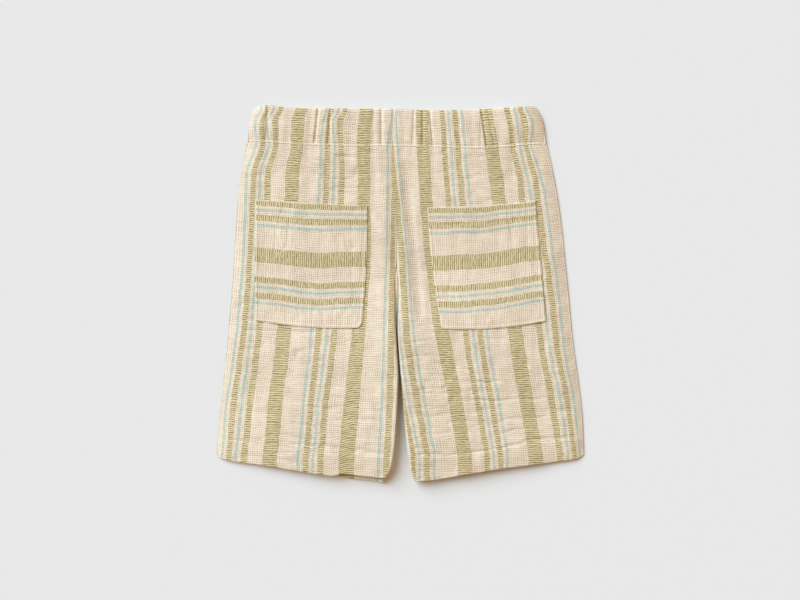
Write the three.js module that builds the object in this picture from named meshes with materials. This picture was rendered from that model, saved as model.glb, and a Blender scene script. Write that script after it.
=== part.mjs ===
// Child's bermuda shorts in striped crinkle gauze, laid flat with the seat side up.
// Millimetres. +X is to the right seen from above, +Y towards the waist, +Z up from the surface.
// The origin is the middle of the outline, on the surface that the shorts lie on.
// Each leg is a flattened tube of a back panel over a front panel, and the waistband is a
// flattened ring: cloth folded over wide elastic, with gathers all round.

import * as THREE from 'three';

// Cloth and how it lies
const CLOTH = 2.2; // crinkle gauze, puffed up by its ribs and slubs
const HEM_CLOTH = 3.4; // the same cloth turned up on itself
const HEM_DEPTH = 24;
const HEM_EASE = 3; // the height over which the cloth thickens to the hem
const HEM_STEP = 0.9; // how far the turned-up hem stands proud
const SEAM_GAP = 0.3;
const SIDE_SEAM_HEIGHT = 2.8; // where the upper and lower layers meet at an outer side
const LEG_SEAM_HEIGHT = 7; // and along an inner leg fold
const SIDE_CROWN = 5.8; // top of the cloth along an outer side
const MIDDLE_HEIGHT = 6.2; // top of the upper layer between the sides
const LEG_CROWN = 14; // top of the cloth along an inner leg fold, to which it rises all the way
const LEG_CROWN_REACH = 90; // how far below the crotch the inner folds get their height
const LEG_FALL = 0.3; // share of that height that they lose again above the hem
const LEG_FALL_START = 148; // how far below the middle they start to lose it
const LEG_FALL_END = 188;
const SIDE_ROUND = 8; // how far in from an outer side the cloth turns over
const LEG_ROUND = 3; // how far in from an inner leg fold the back panel turns over
const FRONT_ROUND = 8; // and the front panel below it
const EDGE_BAND = 6; // width along each edge where the points are closer together
const CROWN_FADE = 24;
const CROTCH_Y = 31.5; // where the legs part
const CROTCH_BLEND = 16;
const SEAT_VALLEY = 5.5; // half width of the valley along the centre seam
const SEAT_DIP = 2; // its depth at the crotch
const LEG_WIDTH = 160; // a usual width of a leg, for spacing the columns of points

// Waistband
const BAND_WALL = 3.6; // cloth, elastic, cloth
const BAND_HEIGHT = 9.2;
const BAND_ROUND = 9;
const BAND_MIDDLE = BAND_HEIGHT / 2;
const BAND_TOP_TAPER = 0.8; // rounding of the folded top edge
const BAND_STITCH_DIP = 2; // the stitched lower edge is pressed down by this much
const BAND_STITCH_REACH = 0.12; // and up to this share of the band's height
const BAND_INSIDE_FOLLOW = 0.3; // share of a gather that shows on the inside of the band
const WAIST_RISE = 1.7; // how far the panels rise to meet it
const WAIST_RISE_FADE = 20;
const GATHER_WIDTH = 2.9;
const PANEL_GATHER_WIDTH = 3.8;

// Pockets
const POCKET_PUFF = 0.5;

// Sections across the legs: where each edge lies at a height Y. Above the crotch the two
// inner edges are the centre seam, and below it they are the inner leg folds.
const SECTIONS = [
  { y: 153.5, leftSide: -153.5, leftInner: -7.65, rightInner: -7.35, rightSide: 145.5 },
  { y: 123.5, leftSide: -159, leftInner: -5.4, rightInner: -5.1, rightSide: 152 },
  { y: 93.5, leftSide: -163, leftInner: -4.45, rightInner: -4.15, rightSide: 157.5 },
  { y: 63.5, leftSide: -165.1, leftInner: -4.05, rightInner: -3.75, rightSide: 161.5 },
  { y: 31.5, leftSide: -167.1, leftInner: -3.95, rightInner: -3.55, rightSide: 164.7 },
  { y: 8.5, leftSide: -168.7, leftInner: -5, rightInner: -1.8, rightSide: 167.1 },
  { y: -31.5, leftSide: -172, leftInner: -4.8, rightInner: -3, rightSide: 170.7 },
  { y: -56.5, leftSide: -174.3, leftInner: -3.6, rightInner: -1.9, rightSide: 173.5 },
  { y: -82.5, leftSide: -176.8, leftInner: -2.4, rightInner: 0.3, rightSide: 177.1 },
  { y: -102.5, leftSide: -179, leftInner: -3.3, rightInner: 2.5, rightSide: 179.7 },
  { y: -124.5, leftSide: -181.5, leftInner: -4.5, rightInner: 4.8, rightSide: 181.9 },
  { y: -153.5, leftSide: -184.25, leftInner: -6.6, rightInner: 6.8, rightSide: 183.4 },
  { y: -170.5, leftSide: -184.5, leftInner: -8.8, rightInner: 8.8, rightSide: 184 },
  { y: -178, leftSide: -184.5, leftInner: -11, rightInner: 10.6, rightSide: 184.5 },
  { y: -184.5, leftSide: -184.5, leftInner: -14.5, rightInner: 13, rightSide: 184.5 },
  { y: -189, leftSide: -184.5, leftInner: -18.5, rightInner: 15.5, rightSide: 184.5 },
];

// The hem's edge, from the outer side (share 0) to the inner leg fold (share 1).
const HEM_LINE = [
  { share: 0, left: -162, right: -161.5 },
  { share: 0.03, left: -165.2, right: -165 },
  { share: 0.08, left: -167.6, right: -166.6 },
  { share: 0.28, left: -172.2, right: -171 },
  { share: 0.48, left: -177.8, right: -175.4 },
  { share: 0.67, left: -182.2, right: -180.4 },
  { share: 0.87, left: -186.5, right: -185.8 },
  { share: 1, left: -188.5, right: -187.6 },
];

// The waist seam and the folded top edge of the waistband, from left to right.
const WAIST_LINE = [
  { x: -154, seam: 152.6, top: 188 },
  { x: -138.5, seam: 151.3, top: 188.5 },
  { x: -100, seam: 148.4, top: 186 },
  { x: -55, seam: 147, top: 185.4 },
  { x: -7.5, seam: 147, top: 185 },
  { x: 36, seam: 145.9, top: 183.6 },
  { x: 72, seam: 144.8, top: 184.3 },
  { x: 104, seam: 146, top: 186 },
  { x: 122, seam: 147.9, top: 187.6 },
  { x: 147, seam: 149.6, top: 187 },
];

// The waistband's side folds lean in towards the top. level 0 is the seam and 1 the top edge.
const BAND_ENDS = [
  { level: 0, left: -153.4, right: 145.7 },
  { level: 0.3, left: -152.4, right: 144.3 },
  { level: 0.6, left: -150.6, right: 142.5 },
  { level: 0.8, left: -148, right: 139.2 },
  { level: 1, left: -142.8, right: 134 },
];

// Gathers on the seat side: x at the waist seam, lean to the top edge, depth in the band,
// depth in the panel below, and how far down the panel it reaches.
const BACK_GATHERS = [
  { x: -148, lean: 6, band: 0.6, panel: 0.2, reach: 20 },
  { x: -134, lean: 1, band: 1.3, panel: 0.5, reach: 40 },
  { x: -122.5, lean: 3, band: 0.8, panel: 0.3, reach: 25 },
  { x: -113.5, lean: 2, band: 0.6, panel: 0.4, reach: 35 },
  { x: -92, lean: 3, band: 0.7, panel: 0.9, reach: 55 },
  { x: -86.3, lean: 4, band: 1.5, panel: 0.4, reach: 25 },
  { x: -72.5, lean: 2.5, band: 1.4, panel: 0.3, reach: 25 },
  { x: -61.5, lean: 2, band: 1, panel: 0.4, reach: 30 },
  { x: -50.5, lean: 1, band: 0.6, panel: 0.5, reach: 40 },
  { x: -27.5, lean: 1, band: 1.2, panel: 0.8, reach: 55 },
  { x: -19.5, lean: 1, band: 1.3, panel: 0.4, reach: 30 },
  { x: -7.5, lean: 1, band: 1.3, panel: 0.6, reach: 30 },
  { x: 3.5, lean: -2, band: 0.7, panel: 0.6, reach: 40 },
  { x: 11.5, lean: 1, band: 0.8, panel: 0.5, reach: 40 },
  { x: 22, lean: 0, band: 1.1, panel: 0.4, reach: 30 },
  { x: 32.5, lean: -3, band: 1.5, panel: 0.7, reach: 35 },
  { x: 46.5, lean: -2, band: 0.8, panel: 0.6, reach: 45 },
  { x: 58.5, lean: -1, band: 1, panel: 0.6, reach: 30 },
  { x: 73.5, lean: -3, band: 0.8, panel: 0.4, reach: 25 },
  { x: 86.5, lean: -5.5, band: 1.5, panel: 0.4, reach: 25 },
  { x: 99, lean: -3, band: 0.7, panel: 0.4, reach: 40 },
  { x: 112.5, lean: -4, band: 1.1, panel: 0.8, reach: 55 },
  { x: 123.5, lean: -2, band: 0.9, panel: 0.3, reach: 25 },
  { x: 136, lean: -6, band: 0.7, panel: 0.3, reach: 30 },
];

// Larger soft folds on the seat side: a ridge (height over 0) or a trough along a line.
const BACK_FOLDS = [
  { x0: -17, y0: 110, x1: -16, y1: -20, height: 0.9, width: 7 },
  { x0: 15, y0: 110, x1: 22, y1: -10, height: 0.9, width: 6.5 },
  { x0: 2, y0: 128, x1: 10, y1: 50, height: -1.6, width: 4.2 },
  { x0: 10, y0: 50, x1: 17, y1: -20, height: -1.6, width: 5 },
  { x0: -150, y0: 60, x1: -158, y1: -110, height: 0.5, width: 12 },
  { x0: 148, y0: 60, x1: 158, y1: -110, height: 0.6, width: 12 },
  { x0: -120, y0: -60, x1: -60, y1: -70, height: 0.6, width: 16 },
  { x0: 60, y0: -64, x1: 130, y1: -54, height: 0.6, width: 16 },
  { x0: -60, y0: -118, x1: -20, y1: -104, height: -0.5, width: 12 },
  { x0: 70, y0: -120, x1: 120, y1: -112, height: -0.5, width: 12 },
  { x0: -62, y0: -174, x1: -12, y1: -182, height: -1.8, width: 13 },
  { x0: 12, y0: -180, x1: 60, y1: -178, height: -1.6, width: 12 },
];

// Patch pockets: corners as [x, y] from above, how far each edge bows out of its straight
// line, and the radius of the two lower corners.
const POCKETS = {
  left: {
    topOuter: [-144.5, 93.9], topInner: [-32.8, 86.9],
    bottomOuter: [-145.7, -27.4], bottomInner: [-38.4, -34.8],
    topBow: -0.4, bottomBow: -2.4, outerBow: -0.2, innerBow: 1.3,
    outerRadius: 2, innerRadius: 7,
  },
  right: {
    topOuter: [135, 92.9], topInner: [27, 86.1],
    bottomOuter: [145.6, -28.2], bottomInner: [41.5, -35.6],
    topBow: -1.4, bottomBow: -3, outerBow: 0.3, innerBow: -2.2,
    outerRadius: 2, innerRadius: 3,
  },
};

const INWARD = { left: 1, right: -1 }; // direction in x from a leg's outer side to its inner edge

const { lerp, clamp, smoothstep } = THREE.MathUtils;

// Smooth interpolation in a table whose rows rise or fall along the column `key`.
function tableValue(table, key, at, column) {
  const rising = table[table.length - 1][key] > table[0][key];
  const rows = rising ? table : [...table].reverse();
  const last = rows.length - 1;
  const t = clamp(at, rows[0][key], rows[last][key]);
  let i = 0;
  while (i < last - 1 && rows[i + 1][key] < t) i += 1;
  const slope = (k) => {
    const a = rows[Math.max(k - 1, 0)];
    const b = rows[Math.min(k + 1, last)];
    return (b[column] - a[column]) / (b[key] - a[key]);
  };
  const span = rows[i + 1][key] - rows[i][key];
  const f = (t - rows[i][key]) / span;
  const f2 = f * f;
  const f3 = f2 * f;
  return (2 * f3 - 3 * f2 + 1) * rows[i][column] + (f3 - 2 * f2 + f) * span * slope(i)
    + (3 * f2 - 2 * f3) * rows[i + 1][column] + (f3 - f2) * span * slope(i + 1);
}

const sideX = (side, y) => tableValue(SECTIONS, 'y', y, `${side}Side`);
const innerX = (side, y) => tableValue(SECTIONS, 'y', y, `${side}Inner`);
const waistY = (x) => tableValue(WAIST_LINE, 'x', x, 'seam');
const topY = (x) => tableValue(WAIST_LINE, 'x', x, 'top');

const bell = (distance, width) => Math.exp(-((distance / width) ** 2));
const turnOver = (distance, radius) => Math.sqrt(1 - (1 - clamp(distance / radius, 0, 1)) ** 2);

// 0 above the crotch, where the legs share the centre seam, and 1 where they are separate.
const legsApart = (y) => smoothstep(-y, -CROTCH_Y - CROTCH_BLEND * 0.3, -CROTCH_Y + CROTCH_BLEND);

function foldRelief(x, y) {
  let sum = 0;
  for (const f of BACK_FOLDS) {
    const dx = f.x1 - f.x0;
    const dy = f.y1 - f.y0;
    const t = clamp(((x - f.x0) * dx + (y - f.y0) * dy) / (dx * dx + dy * dy), 0, 1);
    const distance = Math.hypot(x - f.x0 - t * dx, y - f.y0 - t * dy);
    sum += f.height * bell(distance, f.width);
  }
  return sum;
}

function panelGathers(x, y) {
  const below = Math.max(waistY(x) - y, 0);
  return BACK_GATHERS.reduce(
    (sum, g) => sum - g.panel * bell(x - g.x, PANEL_GATHER_WIDTH) * bell(below, g.reach), 0);
}

function bandGathers(x, level) {
  return BACK_GATHERS.reduce(
    (sum, g) => sum - g.band * bell(x - g.x - g.lean * level, GATHER_WIDTH), 0);
}

// Distance from a point of a leg to its outer side and to its inner edge.
function edgeDistances(side, x, y) {
  const out = Math.abs(x - sideX(side, y));
  const inner = Math.abs(innerX(side, y) - x);
  return { out, inner };
}

// From 0 at the outer side to 1 at the inner edge.
function shareAcross(side, x, y) {
  const { out, inner } = edgeDistances(side, x, y);
  return out / (out + inner);
}

// The inner folds get their height little by little down the leg: 0 at the crotch, then 1.
const legGrowth = (y) => {
  const grown = smoothstep(-y, -CROTCH_Y, LEG_CROWN_REACH - CROTCH_Y);
  return grown * (1 - LEG_FALL * smoothstep(-y, LEG_FALL_START, LEG_FALL_END));
};

// The height where the two layers of a leg meet.
function seamHeight(side, x, y) {
  return lerp(SIDE_SEAM_HEIGHT, LEG_SEAM_HEIGHT, legGrowth(y) * shareAcross(side, x, y));
}

// The height that parts the two layers, with a dip along the centre seam.
function layerMiddle(side, x, y) {
  const { inner } = edgeDistances(side, x, y);
  return seamHeight(side, x, y) - (1 - legsApart(y)) * SEAT_DIP * bell(inner, SEAT_VALLEY);
}

// Height of the upper layer's top before its edges turn over.
function backForm(side, x, y) {
  const { out, inner } = edgeDistances(side, x, y);
  const apart = legsApart(y);
  const sideRise = (SIDE_CROWN - MIDDLE_HEIGHT) * bell(Math.max(out - SIDE_ROUND, 0), CROWN_FADE);
  const legRise = (LEG_CROWN - MIDDLE_HEIGHT) * legGrowth(y) * shareAcross(side, x, y) ** 1.3;
  const waistRise = WAIST_RISE * bell(Math.max(waistY(x) - y, 0), WAIST_RISE_FADE);
  const toCrotch = clamp((waistY(x) - y) / (waistY(x) - CROTCH_Y), 0, 1);
  const dip = (1 - apart) * SEAT_DIP * lerp(0.3, 1, toCrotch) * bell(inner, SEAT_VALLEY);
  return MIDDLE_HEIGHT + sideRise + legRise + waistRise - dip
    + foldRelief(x, y) + panelGathers(x, y);
}

// How far a layer has turned over at a point: 0 at a leg's folded edge, 1 away from it.
// The centre seam is no fold, so the inner edge turns over only where the legs are apart.
function turned(side, isBack, x, y, cloth = 0) {
  const { out, inner } = edgeDistances(side, x, y);
  const radius = isBack ? LEG_ROUND : FRONT_ROUND;
  const apart = isBack ? legsApart(y) : legsApart(y) ** 2;
  return turnOver(out, SIDE_ROUND + cloth) * lerp(1, turnOver(inner, radius + cloth), apart);
}

function backHeight(side, x, y) {
  const edge = seamHeight(side, x, y) + SEAM_GAP / 2;
  return edge + (backForm(side, x, y) - edge) * turned(side, true, x, y);
}

// Height of the lower layer's underside: flat on the surface, turning up at the leg's folds.
function frontHeight(side, x, y) {
  const edge = seamHeight(side, x, y) - SEAM_GAP / 2;
  return edge * (1 - turned(side, false, x, y));
}

// The inside face of a layer, a cloth's thickness in from the point p of its outside face.
function insidePoint(side, isBack, p, cloth) {
  const { out, inner } = edgeDistances(side, p.x, p.y);
  const shift = (d, radius) => cloth * (1 - clamp(d / (radius + cloth), 0, 1));
  const apart = isBack ? legsApart(p.y) : legsApart(p.y) ** 2;
  const innerRadius = isBack ? LEG_ROUND : FRONT_ROUND;
  const x = p.x + INWARD[side] * (shift(out, SIDE_ROUND) - apart * shift(inner, innerRadius));
  const round = turned(side, isBack, p.x, p.y, cloth);
  const seam = seamHeight(side, p.x, p.y);
  const middle = layerMiddle(side, x, p.y);
  if (isBack) {
    const edge = seam + SEAM_GAP / 2;
    const z = edge + (backForm(side, x, p.y) - cloth - edge) * round;
    return new THREE.Vector3(x, p.y, Math.max(z, middle + SEAM_GAP / 2));
  }
  const edge = seam - SEAM_GAP / 2;
  const z = cloth + (edge - cloth) * (1 - round);
  return new THREE.Vector3(x, p.y, Math.min(z, middle - SEAM_GAP / 2));
}

// Positions across a width: close together near both ends, where the cloth turns over.
function across(width, middleCount, endRound) {
  const ends = [0, 0.05, 0.2, 0.5, 1].map((share) => share * endRound);
  const first = ends[ends.length - 1];
  const list = [...ends];
  for (let k = 1; k < middleCount; k += 1) {
    list.push(lerp(first, width - first, k / middleCount));
  }
  return [...list, ...ends.reverse().map((d) => width - d)];
}

// A closed wall between two grids of points, rows[i][j]. With `ring`, each row closes on itself.
function wallGeometry(outer, inner, ring = false) {
  const rows = outer.length;
  const cols = outer[0].length;
  const points = [...outer.flat(), ...inner.flat()];
  const position = new Float32Array(points.length * 3);
  points.forEach((p, k) => p.toArray(position, 3 * k));
  const at = (layer, i, j) => layer * rows * cols + i * cols + (j % cols);
  const index = [];
  const quad = (a, b, c, d) => index.push(a, b, c, a, c, d);
  const steps = ring ? cols : cols - 1;
  for (let i = 0; i < rows - 1; i += 1) {
    for (let j = 0; j < steps; j += 1) {
      quad(at(0, i, j), at(0, i + 1, j), at(0, i + 1, j + 1), at(0, i, j + 1));
      quad(at(1, i, j), at(1, i, j + 1), at(1, i + 1, j + 1), at(1, i + 1, j));
    }
  }
  for (let j = 0; j < steps; j += 1) {
    quad(at(0, 0, j), at(0, 0, j + 1), at(1, 0, j + 1), at(1, 0, j));
    quad(at(0, rows - 1, j + 1), at(0, rows - 1, j), at(1, rows - 1, j), at(1, rows - 1, j + 1));
  }
  for (let i = 0; !ring && i < rows - 1; i += 1) {
    quad(at(0, i + 1, 0), at(0, i, 0), at(1, i, 0), at(1, i + 1, 0));
    quad(at(0, i, cols - 1), at(0, i + 1, cols - 1), at(1, i + 1, cols - 1), at(1, i, cols - 1));
  }
  const geometry = new THREE.BufferGeometry();
  geometry.setAttribute('position', new THREE.BufferAttribute(position, 3));
  geometry.setIndex(index);
  geometry.computeVertexNormals();
  return geometry;
}

// One leg panel. Its outside face is the seat side (back) or the underside (front).
function legPanel(side, isBack, rowShares, middleCount) {
  const hemY = (share) => tableValue(HEM_LINE, 'share', share, side);
  const columns = across(1, middleCount, EDGE_BAND / LEG_WIDTH);
  const outside = rowShares.map((v) => columns.map((share, j) => {
    const waistX = lerp(sideX(side, SECTIONS[0].y), innerX(side, SECTIONS[0].y), share);
    const y = lerp(waistY(waistX) - SEAM_GAP, hemY(share), v);
    const width = Math.abs(innerX(side, y) - sideX(side, y));
    const x = sideX(side, y) + INWARD[side] * across(width, middleCount, EDGE_BAND)[j];
    return new THREE.Vector3(x, y, (isBack ? backHeight : frontHeight)(side, x, y));
  }));
  const inHem = (p, j, blend) => 1 - smoothstep(p.y - hemY(columns[j]), HEM_DEPTH, HEM_DEPTH + blend);
  const inside = outside.map((row) => row.map(
    (p, j) => insidePoint(side, isBack, p, lerp(CLOTH, HEM_CLOTH, inHem(p, j, HEM_EASE)))));
  if (isBack) {
    outside.forEach((row) => row.forEach((p, j) => {
      p.z += HEM_STEP * turned(side, true, p.x, p.y) * inHem(p, j, HEM_EASE);
    }));
  }
  const facing = (side === 'left') === isBack;
  return wallGeometry(facing ? outside : inside, facing ? inside : outside);
}

// The waistband: a flattened ring of gathered cloth over elastic. Stations run along the back
// from left to right, then along the front from right to left.
function waistband(backCount, frontCount, levels) {
  const lastOf = (count) => across(1, count, 1).length - 1;
  const back = Array.from({ length: lastOf(backCount) + 1 }, (_, j) => ({ isBack: true, j }));
  const front = Array.from({ length: lastOf(frontCount) - 1 }, (_, j) => (
    { isBack: false, j: lastOf(frontCount) - 1 - j }));
  const face = (isInside) => levels.map((level) => [...back, ...front].map(({ isBack, j }) => {
    const left = tableValue(BAND_ENDS, 'level', level, 'left');
    const right = tableValue(BAND_ENDS, 'level', level, 'right');
    const width = right - left;
    const along = across(width, isBack ? backCount : frontCount, BAND_ROUND)[j];
    const fromEnd = Math.min(along, width - along);
    const radius = BAND_ROUND + BAND_WALL;
    const tuck = isInside ? BAND_WALL * (1 - clamp(fromEnd / radius, 0, 1)) : 0;
    const x = along < width / 2 ? left + fromEnd + tuck : right - fromEnd - tuck;
    const y = lerp(waistY(x), topY(x), level);
    const bend = turnOver(fromEnd, isInside ? radius : BAND_ROUND);
    const dip = BAND_STITCH_DIP * bell(level, BAND_STITCH_REACH);
    const taper = BAND_TOP_TAPER * smoothstep(level, 1 - BAND_STITCH_REACH / 2, 1);
    const gather = isBack ? bandGathers(x, level) : 0;
    const half = isInside
      ? BAND_HEIGHT / 2 - BAND_WALL + taper + BAND_INSIDE_FOLLOW * gather
      : BAND_HEIGHT / 2 - taper + gather - (isBack ? dip : 0);
    return new THREE.Vector3(x, y, BAND_MIDDLE + (isBack ? 1 : -1) * half * bend);
  }));
  return wallGeometry(face(true), face(false), true);
}

// A patch pocket: a wall laid over its back panel, a seam gap above it, open along the top.
function pocket(side, rows, cols) {
  const p = POCKETS[side];
  const outline = (a, b) => {
    const top = [lerp(p.topOuter[0], p.topInner[0], a), lerp(p.topOuter[1], p.topInner[1], a)];
    const low = [
      lerp(p.bottomOuter[0], p.bottomInner[0], a), lerp(p.bottomOuter[1], p.bottomInner[1], a)];
    const arch = 4 * a * (1 - a);
    const belly = 4 * b * (1 - b);
    const x = lerp(top[0], low[0], b) + belly * lerp(p.outerBow, p.innerBow, a);
    const y = lerp(top[1] + arch * p.topBow, low[1] + arch * p.bottomBow, b);
    const length = top[1] - low[1];
    const corner = (radius) => {
      const up = clamp((1 - b) * length / radius, 0, 1);
      return radius * (1 - Math.sqrt(1 - (1 - up) ** 2));
    };
    const pull = lerp(corner(p.outerRadius), -corner(p.innerRadius), a);
    return [x + INWARD[side] * pull, y];
  };
  const layer = (lift) => rows.map((b) => cols.map((a) => {
    const [x, y] = outline(a, b);
    const puff = POCKET_PUFF * Math.sin(Math.PI * a) * Math.cos(b * Math.PI * 0.5);
    return new THREE.Vector3(x, y, backHeight(side, x, y) + SEAM_GAP + puff + lift);
  }));
  const upper = layer(CLOTH);
  const lower = layer(0);
  return side === 'left' ? wallGeometry(upper, lower) : wallGeometry(lower, upper);
}

function clothMaterial(color) {
  return new THREE.MeshStandardMaterial({ color, roughness: 0.92, metalness: 0 });
}

function piece(name, geometry, color) {
  const mesh = new THREE.Mesh(geometry, clothMaterial(color));
  mesh.name = name;
  return mesh;
}

// Rows of a panel are closer together near the waist, where the gathers are, and at the hem.
const BACK_ROWS = [
  0, 0.02, 0.05, 0.09, 0.14, 0.2, 0.26, 0.31, 0.35, 0.39, 0.44, 0.51,
  0.59, 0.67, 0.75, 0.83, 0.9, 0.922, 0.934, 0.97, 1];
const FRONT_ROWS = [0, 0.08, 0.18, 0.28, 0.345, 0.38, 0.42, 0.52, 0.64, 0.76, 0.87, 0.925, 0.965, 1];
const BAND_LEVELS = [0, 0.06, 0.18, 0.4, 0.65, 0.85, 0.95, 1];
const POCKET_SHARES = [0, 0.02, 0.08, 0.2, 0.32, 0.44, 0.56, 0.68, 0.8, 0.92, 0.98, 1];

const CREAM = '#e6d3b4';
const CREAM_SHADE = '#dcc8a8';
const POCKET_TINT = '#e0cfae';

const shorts = new THREE.Group();
shorts.name = 'bermuda_shorts';
shorts.add(
  piece('back_left', legPanel('left', true, BACK_ROWS, 24), CREAM),
  piece('back_right', legPanel('right', true, BACK_ROWS, 24), CREAM),
  piece('front_left', legPanel('left', false, FRONT_ROWS, 6), CREAM_SHADE),
  piece('front_right', legPanel('right', false, FRONT_ROWS, 6), CREAM_SHADE),
  piece('waistband', waistband(80, 12, BAND_LEVELS), CREAM),
  piece('pocket_left', pocket('left', POCKET_SHARES, POCKET_SHARES), POCKET_TINT),
  piece('pocket_right', pocket('right', POCKET_SHARES, POCKET_SHARES), POCKET_TINT),
);

export default shorts;
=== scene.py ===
"""Child's bermuda shorts in striped crinkle gauze, laid flat with the seat side up.

Laid out as a Blender add-on. Lengths in the tables are millimetres, seen from above:
x to the right, y towards the waist, z up from the surface that the shorts lie on.
"""

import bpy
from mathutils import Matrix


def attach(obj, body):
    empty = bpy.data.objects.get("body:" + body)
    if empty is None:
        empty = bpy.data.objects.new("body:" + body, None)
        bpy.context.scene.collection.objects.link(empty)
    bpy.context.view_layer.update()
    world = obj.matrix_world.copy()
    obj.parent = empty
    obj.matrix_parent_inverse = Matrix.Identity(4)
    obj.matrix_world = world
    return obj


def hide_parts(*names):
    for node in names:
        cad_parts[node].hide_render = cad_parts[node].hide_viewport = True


bl_info = {
    "name": "Striped Gauze Bermuda Shorts",
    "version": (1, 0, 0),
    "blender": (4, 2, 0),
    "location": "3D View > Sidebar > Shorts",
    "description": "Builds a pair of bermuda shorts laid flat, with its cloth, seams and stitches",
    "category": "Mesh",
}

import math

import bpy
import numpy as np
from mathutils import Vector
from bpy.props import FloatProperty, FloatVectorProperty, PointerProperty

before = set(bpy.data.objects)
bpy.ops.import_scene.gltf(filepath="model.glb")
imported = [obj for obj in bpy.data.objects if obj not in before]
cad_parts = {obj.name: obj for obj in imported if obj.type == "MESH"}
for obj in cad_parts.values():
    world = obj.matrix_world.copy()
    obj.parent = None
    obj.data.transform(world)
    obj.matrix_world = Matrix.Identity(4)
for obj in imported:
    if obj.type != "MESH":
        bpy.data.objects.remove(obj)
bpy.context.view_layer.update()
MM = 0.001

# Cloth and how it lies
CLOTH = 1.2  # crinkle gauze
HEM_CLOTH = 2.4  # the same cloth turned up on itself
HEM_DEPTH = 24.0
HEM_STEP = 0.8  # how far the turned-up hem stands proud
HEM_DROP = 1.0  # how far the cloth sinks over the last HEM_DROP_DEPTH of a leg
HEM_DROP_DEPTH = 16.0
HEM_FOLD_END = 1.5  # the turned-up edge fades out this far above its depth
HEM_ROUND = 1.6  # how far up the hem's own edge rounds over
HEM_ROUND_DROP = 0.4  # how far a back hem's edge turns down
FRONT_HEM_LIFT = 0.8  # and a front hem's edge up
HEM_STITCH_INSET = 1.5  # the stitches lie this far below the turned-up edge, in a small groove
HEM_STITCH_DEPTH = 0.9
HEM_STITCH_WIDTH = 1.1
WAIST_CALM = 5.0  # the creases fade out this near to the waist seam
CREASE_WAVER = 1.5  # how far a crease wavers beside its straight line
FRONT_SHORT = 2.0  # the front hems lie this much further up, under the back ones
FRONT_PEEP = 3.8  # but the left one shows this much below the back one, next to the inner leg
PEEP_START = 0.66  # share of the leg's width from which it shows
PEEP_FADE = 0.1
SIDE_SEAM_HEIGHT = 0.9  # where the upper and lower layers meet at an outer side
LEG_SEAM_HEIGHT = 8.5  # and along an inner leg fold
RIM_CLOTH = 0.25  # the least thickness of a panel, along its edges
SEAM_GAP = 0.1  # between neighbouring panels
SIDE_CROWN = 4.0  # top of the cloth along an outer side
LEG_CROWN = 15.0  # top of the cloth along an inner leg fold, to which it rises all the way
MIDDLE_HEIGHT = 5.6  # top of the upper layer between them
LEG_RISE_POWER = 1.3  # how late on its way inwards the cloth rises to the inner leg fold
SIDE_ROUND = 20.0  # how far in from an outer side the cloth starts to slope down
EDGE_ROUND = 1.8  # how far in from an inner leg fold it turns over
FRONT_ROUND = 8.0  # and the front panel below it, which leaves a dark hollow
CROWN_FADE = 24.0  # how far in the height changes from SIDE_CROWN to MIDDLE_HEIGHT
CROTCH_Y = 31.5
CROTCH_BLEND = 16.0
LEG_CROWN_REACH = 90.0  # how far below the crotch the roll along the inner leg gets its height
LEG_FALL = 0.3  # share of that height that it loses again over the last part before the hem
LEG_FALL_START = -148.0
LEG_FALL_END = -188.0
FRONT_CROTCH_Y = -44.0  # the front panels part lower down, so they show between the legs
FRONT_CROTCH_BLEND = 8.0
FRONT_RIDGE = 4.5  # height of the front's centre seam where it shows between the legs
FRONT_RIDGE_WIDTH = 4.0
SEAT_VALLEY = 5.5  # half width of the valley along the centre seam
SEAT_DIP = 2.0
SEAT_DIP_AT_WAIST = 0.3  # share of the dip that is left at the waist

# Waistband
BAND_WALL = 3.6  # cloth, elastic, cloth
BAND_HEIGHT = 7.8
BAND_ROUND = 6.0
BAND_SLOPE = 18.0  # how far in from its ends the band starts to slope down
BAND_END_HEIGHT = 2.2
BAND_TOP_ROUND = 3.5
BAND_TOP_DROP = 2.2
BAND_LEAST_HALF = 0.25  # least half height of the flattened ring
BAND_SWELL = 0.55  # share of the band's height over which it rises from the waist seam
BAND_SEAM = 0.02  # share of its height that lies flat on the panel
BAND_GATHER_START = 0.12  # share of its height from which the gathers are fully there
FRONT_GATHER_SHARE = 0.35  # share of the gathers' depth on the side that lies below
INSIDE_GATHER_SHARE = 0.3
WAIST_GROOVE = 0.7  # depth of the groove above the waist stitches
WAIST_GROOVE_UP = 2.6  # how far above the seam it lies
WAIST_GROOVE_WIDTH = 0.9
SEAT_EDGE = 0.5  # the panel's height at the waist seam is taken this far below it
WAIST_RISE = 1.5  # how far the panels rise to the waist seam
WAIST_RISE_FADE = 20.0

# Spacing of the points of the cloth, and the sizes over which it shares them out
FINE_STEP = 1.25
COARSE_STEP = 6.0
BAND_STEP = 0.75
PANEL_WIDTH = 160.0
PANEL_LENGTH = 340.0
BAND_WIDTH = 290.0
POCKET_WIDTH = 110.0
POCKET_LENGTH = 122.0

# Length of the cloth's own weft side: a panel at its outer and inner edge, and the waistband
OUTER_LENGTH = 315.0
INNER_LENGTH = 338.0
BAND_LENGTH = 36.0

# Seeds of the crinkles and of what wavers
PANEL_SEEDS = {"left": 11, "right": 23}
POCKET_SEEDS = {"left": 51, "right": 67}
BAND_SEED = 37
CREASE_SEED = 3
STRIPE_SEED = 83
POCKET_STRIPE_SEED = 91
POCKET_TOP_SEED = 17
POCKET_PUFF_SEED = 29

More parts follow.
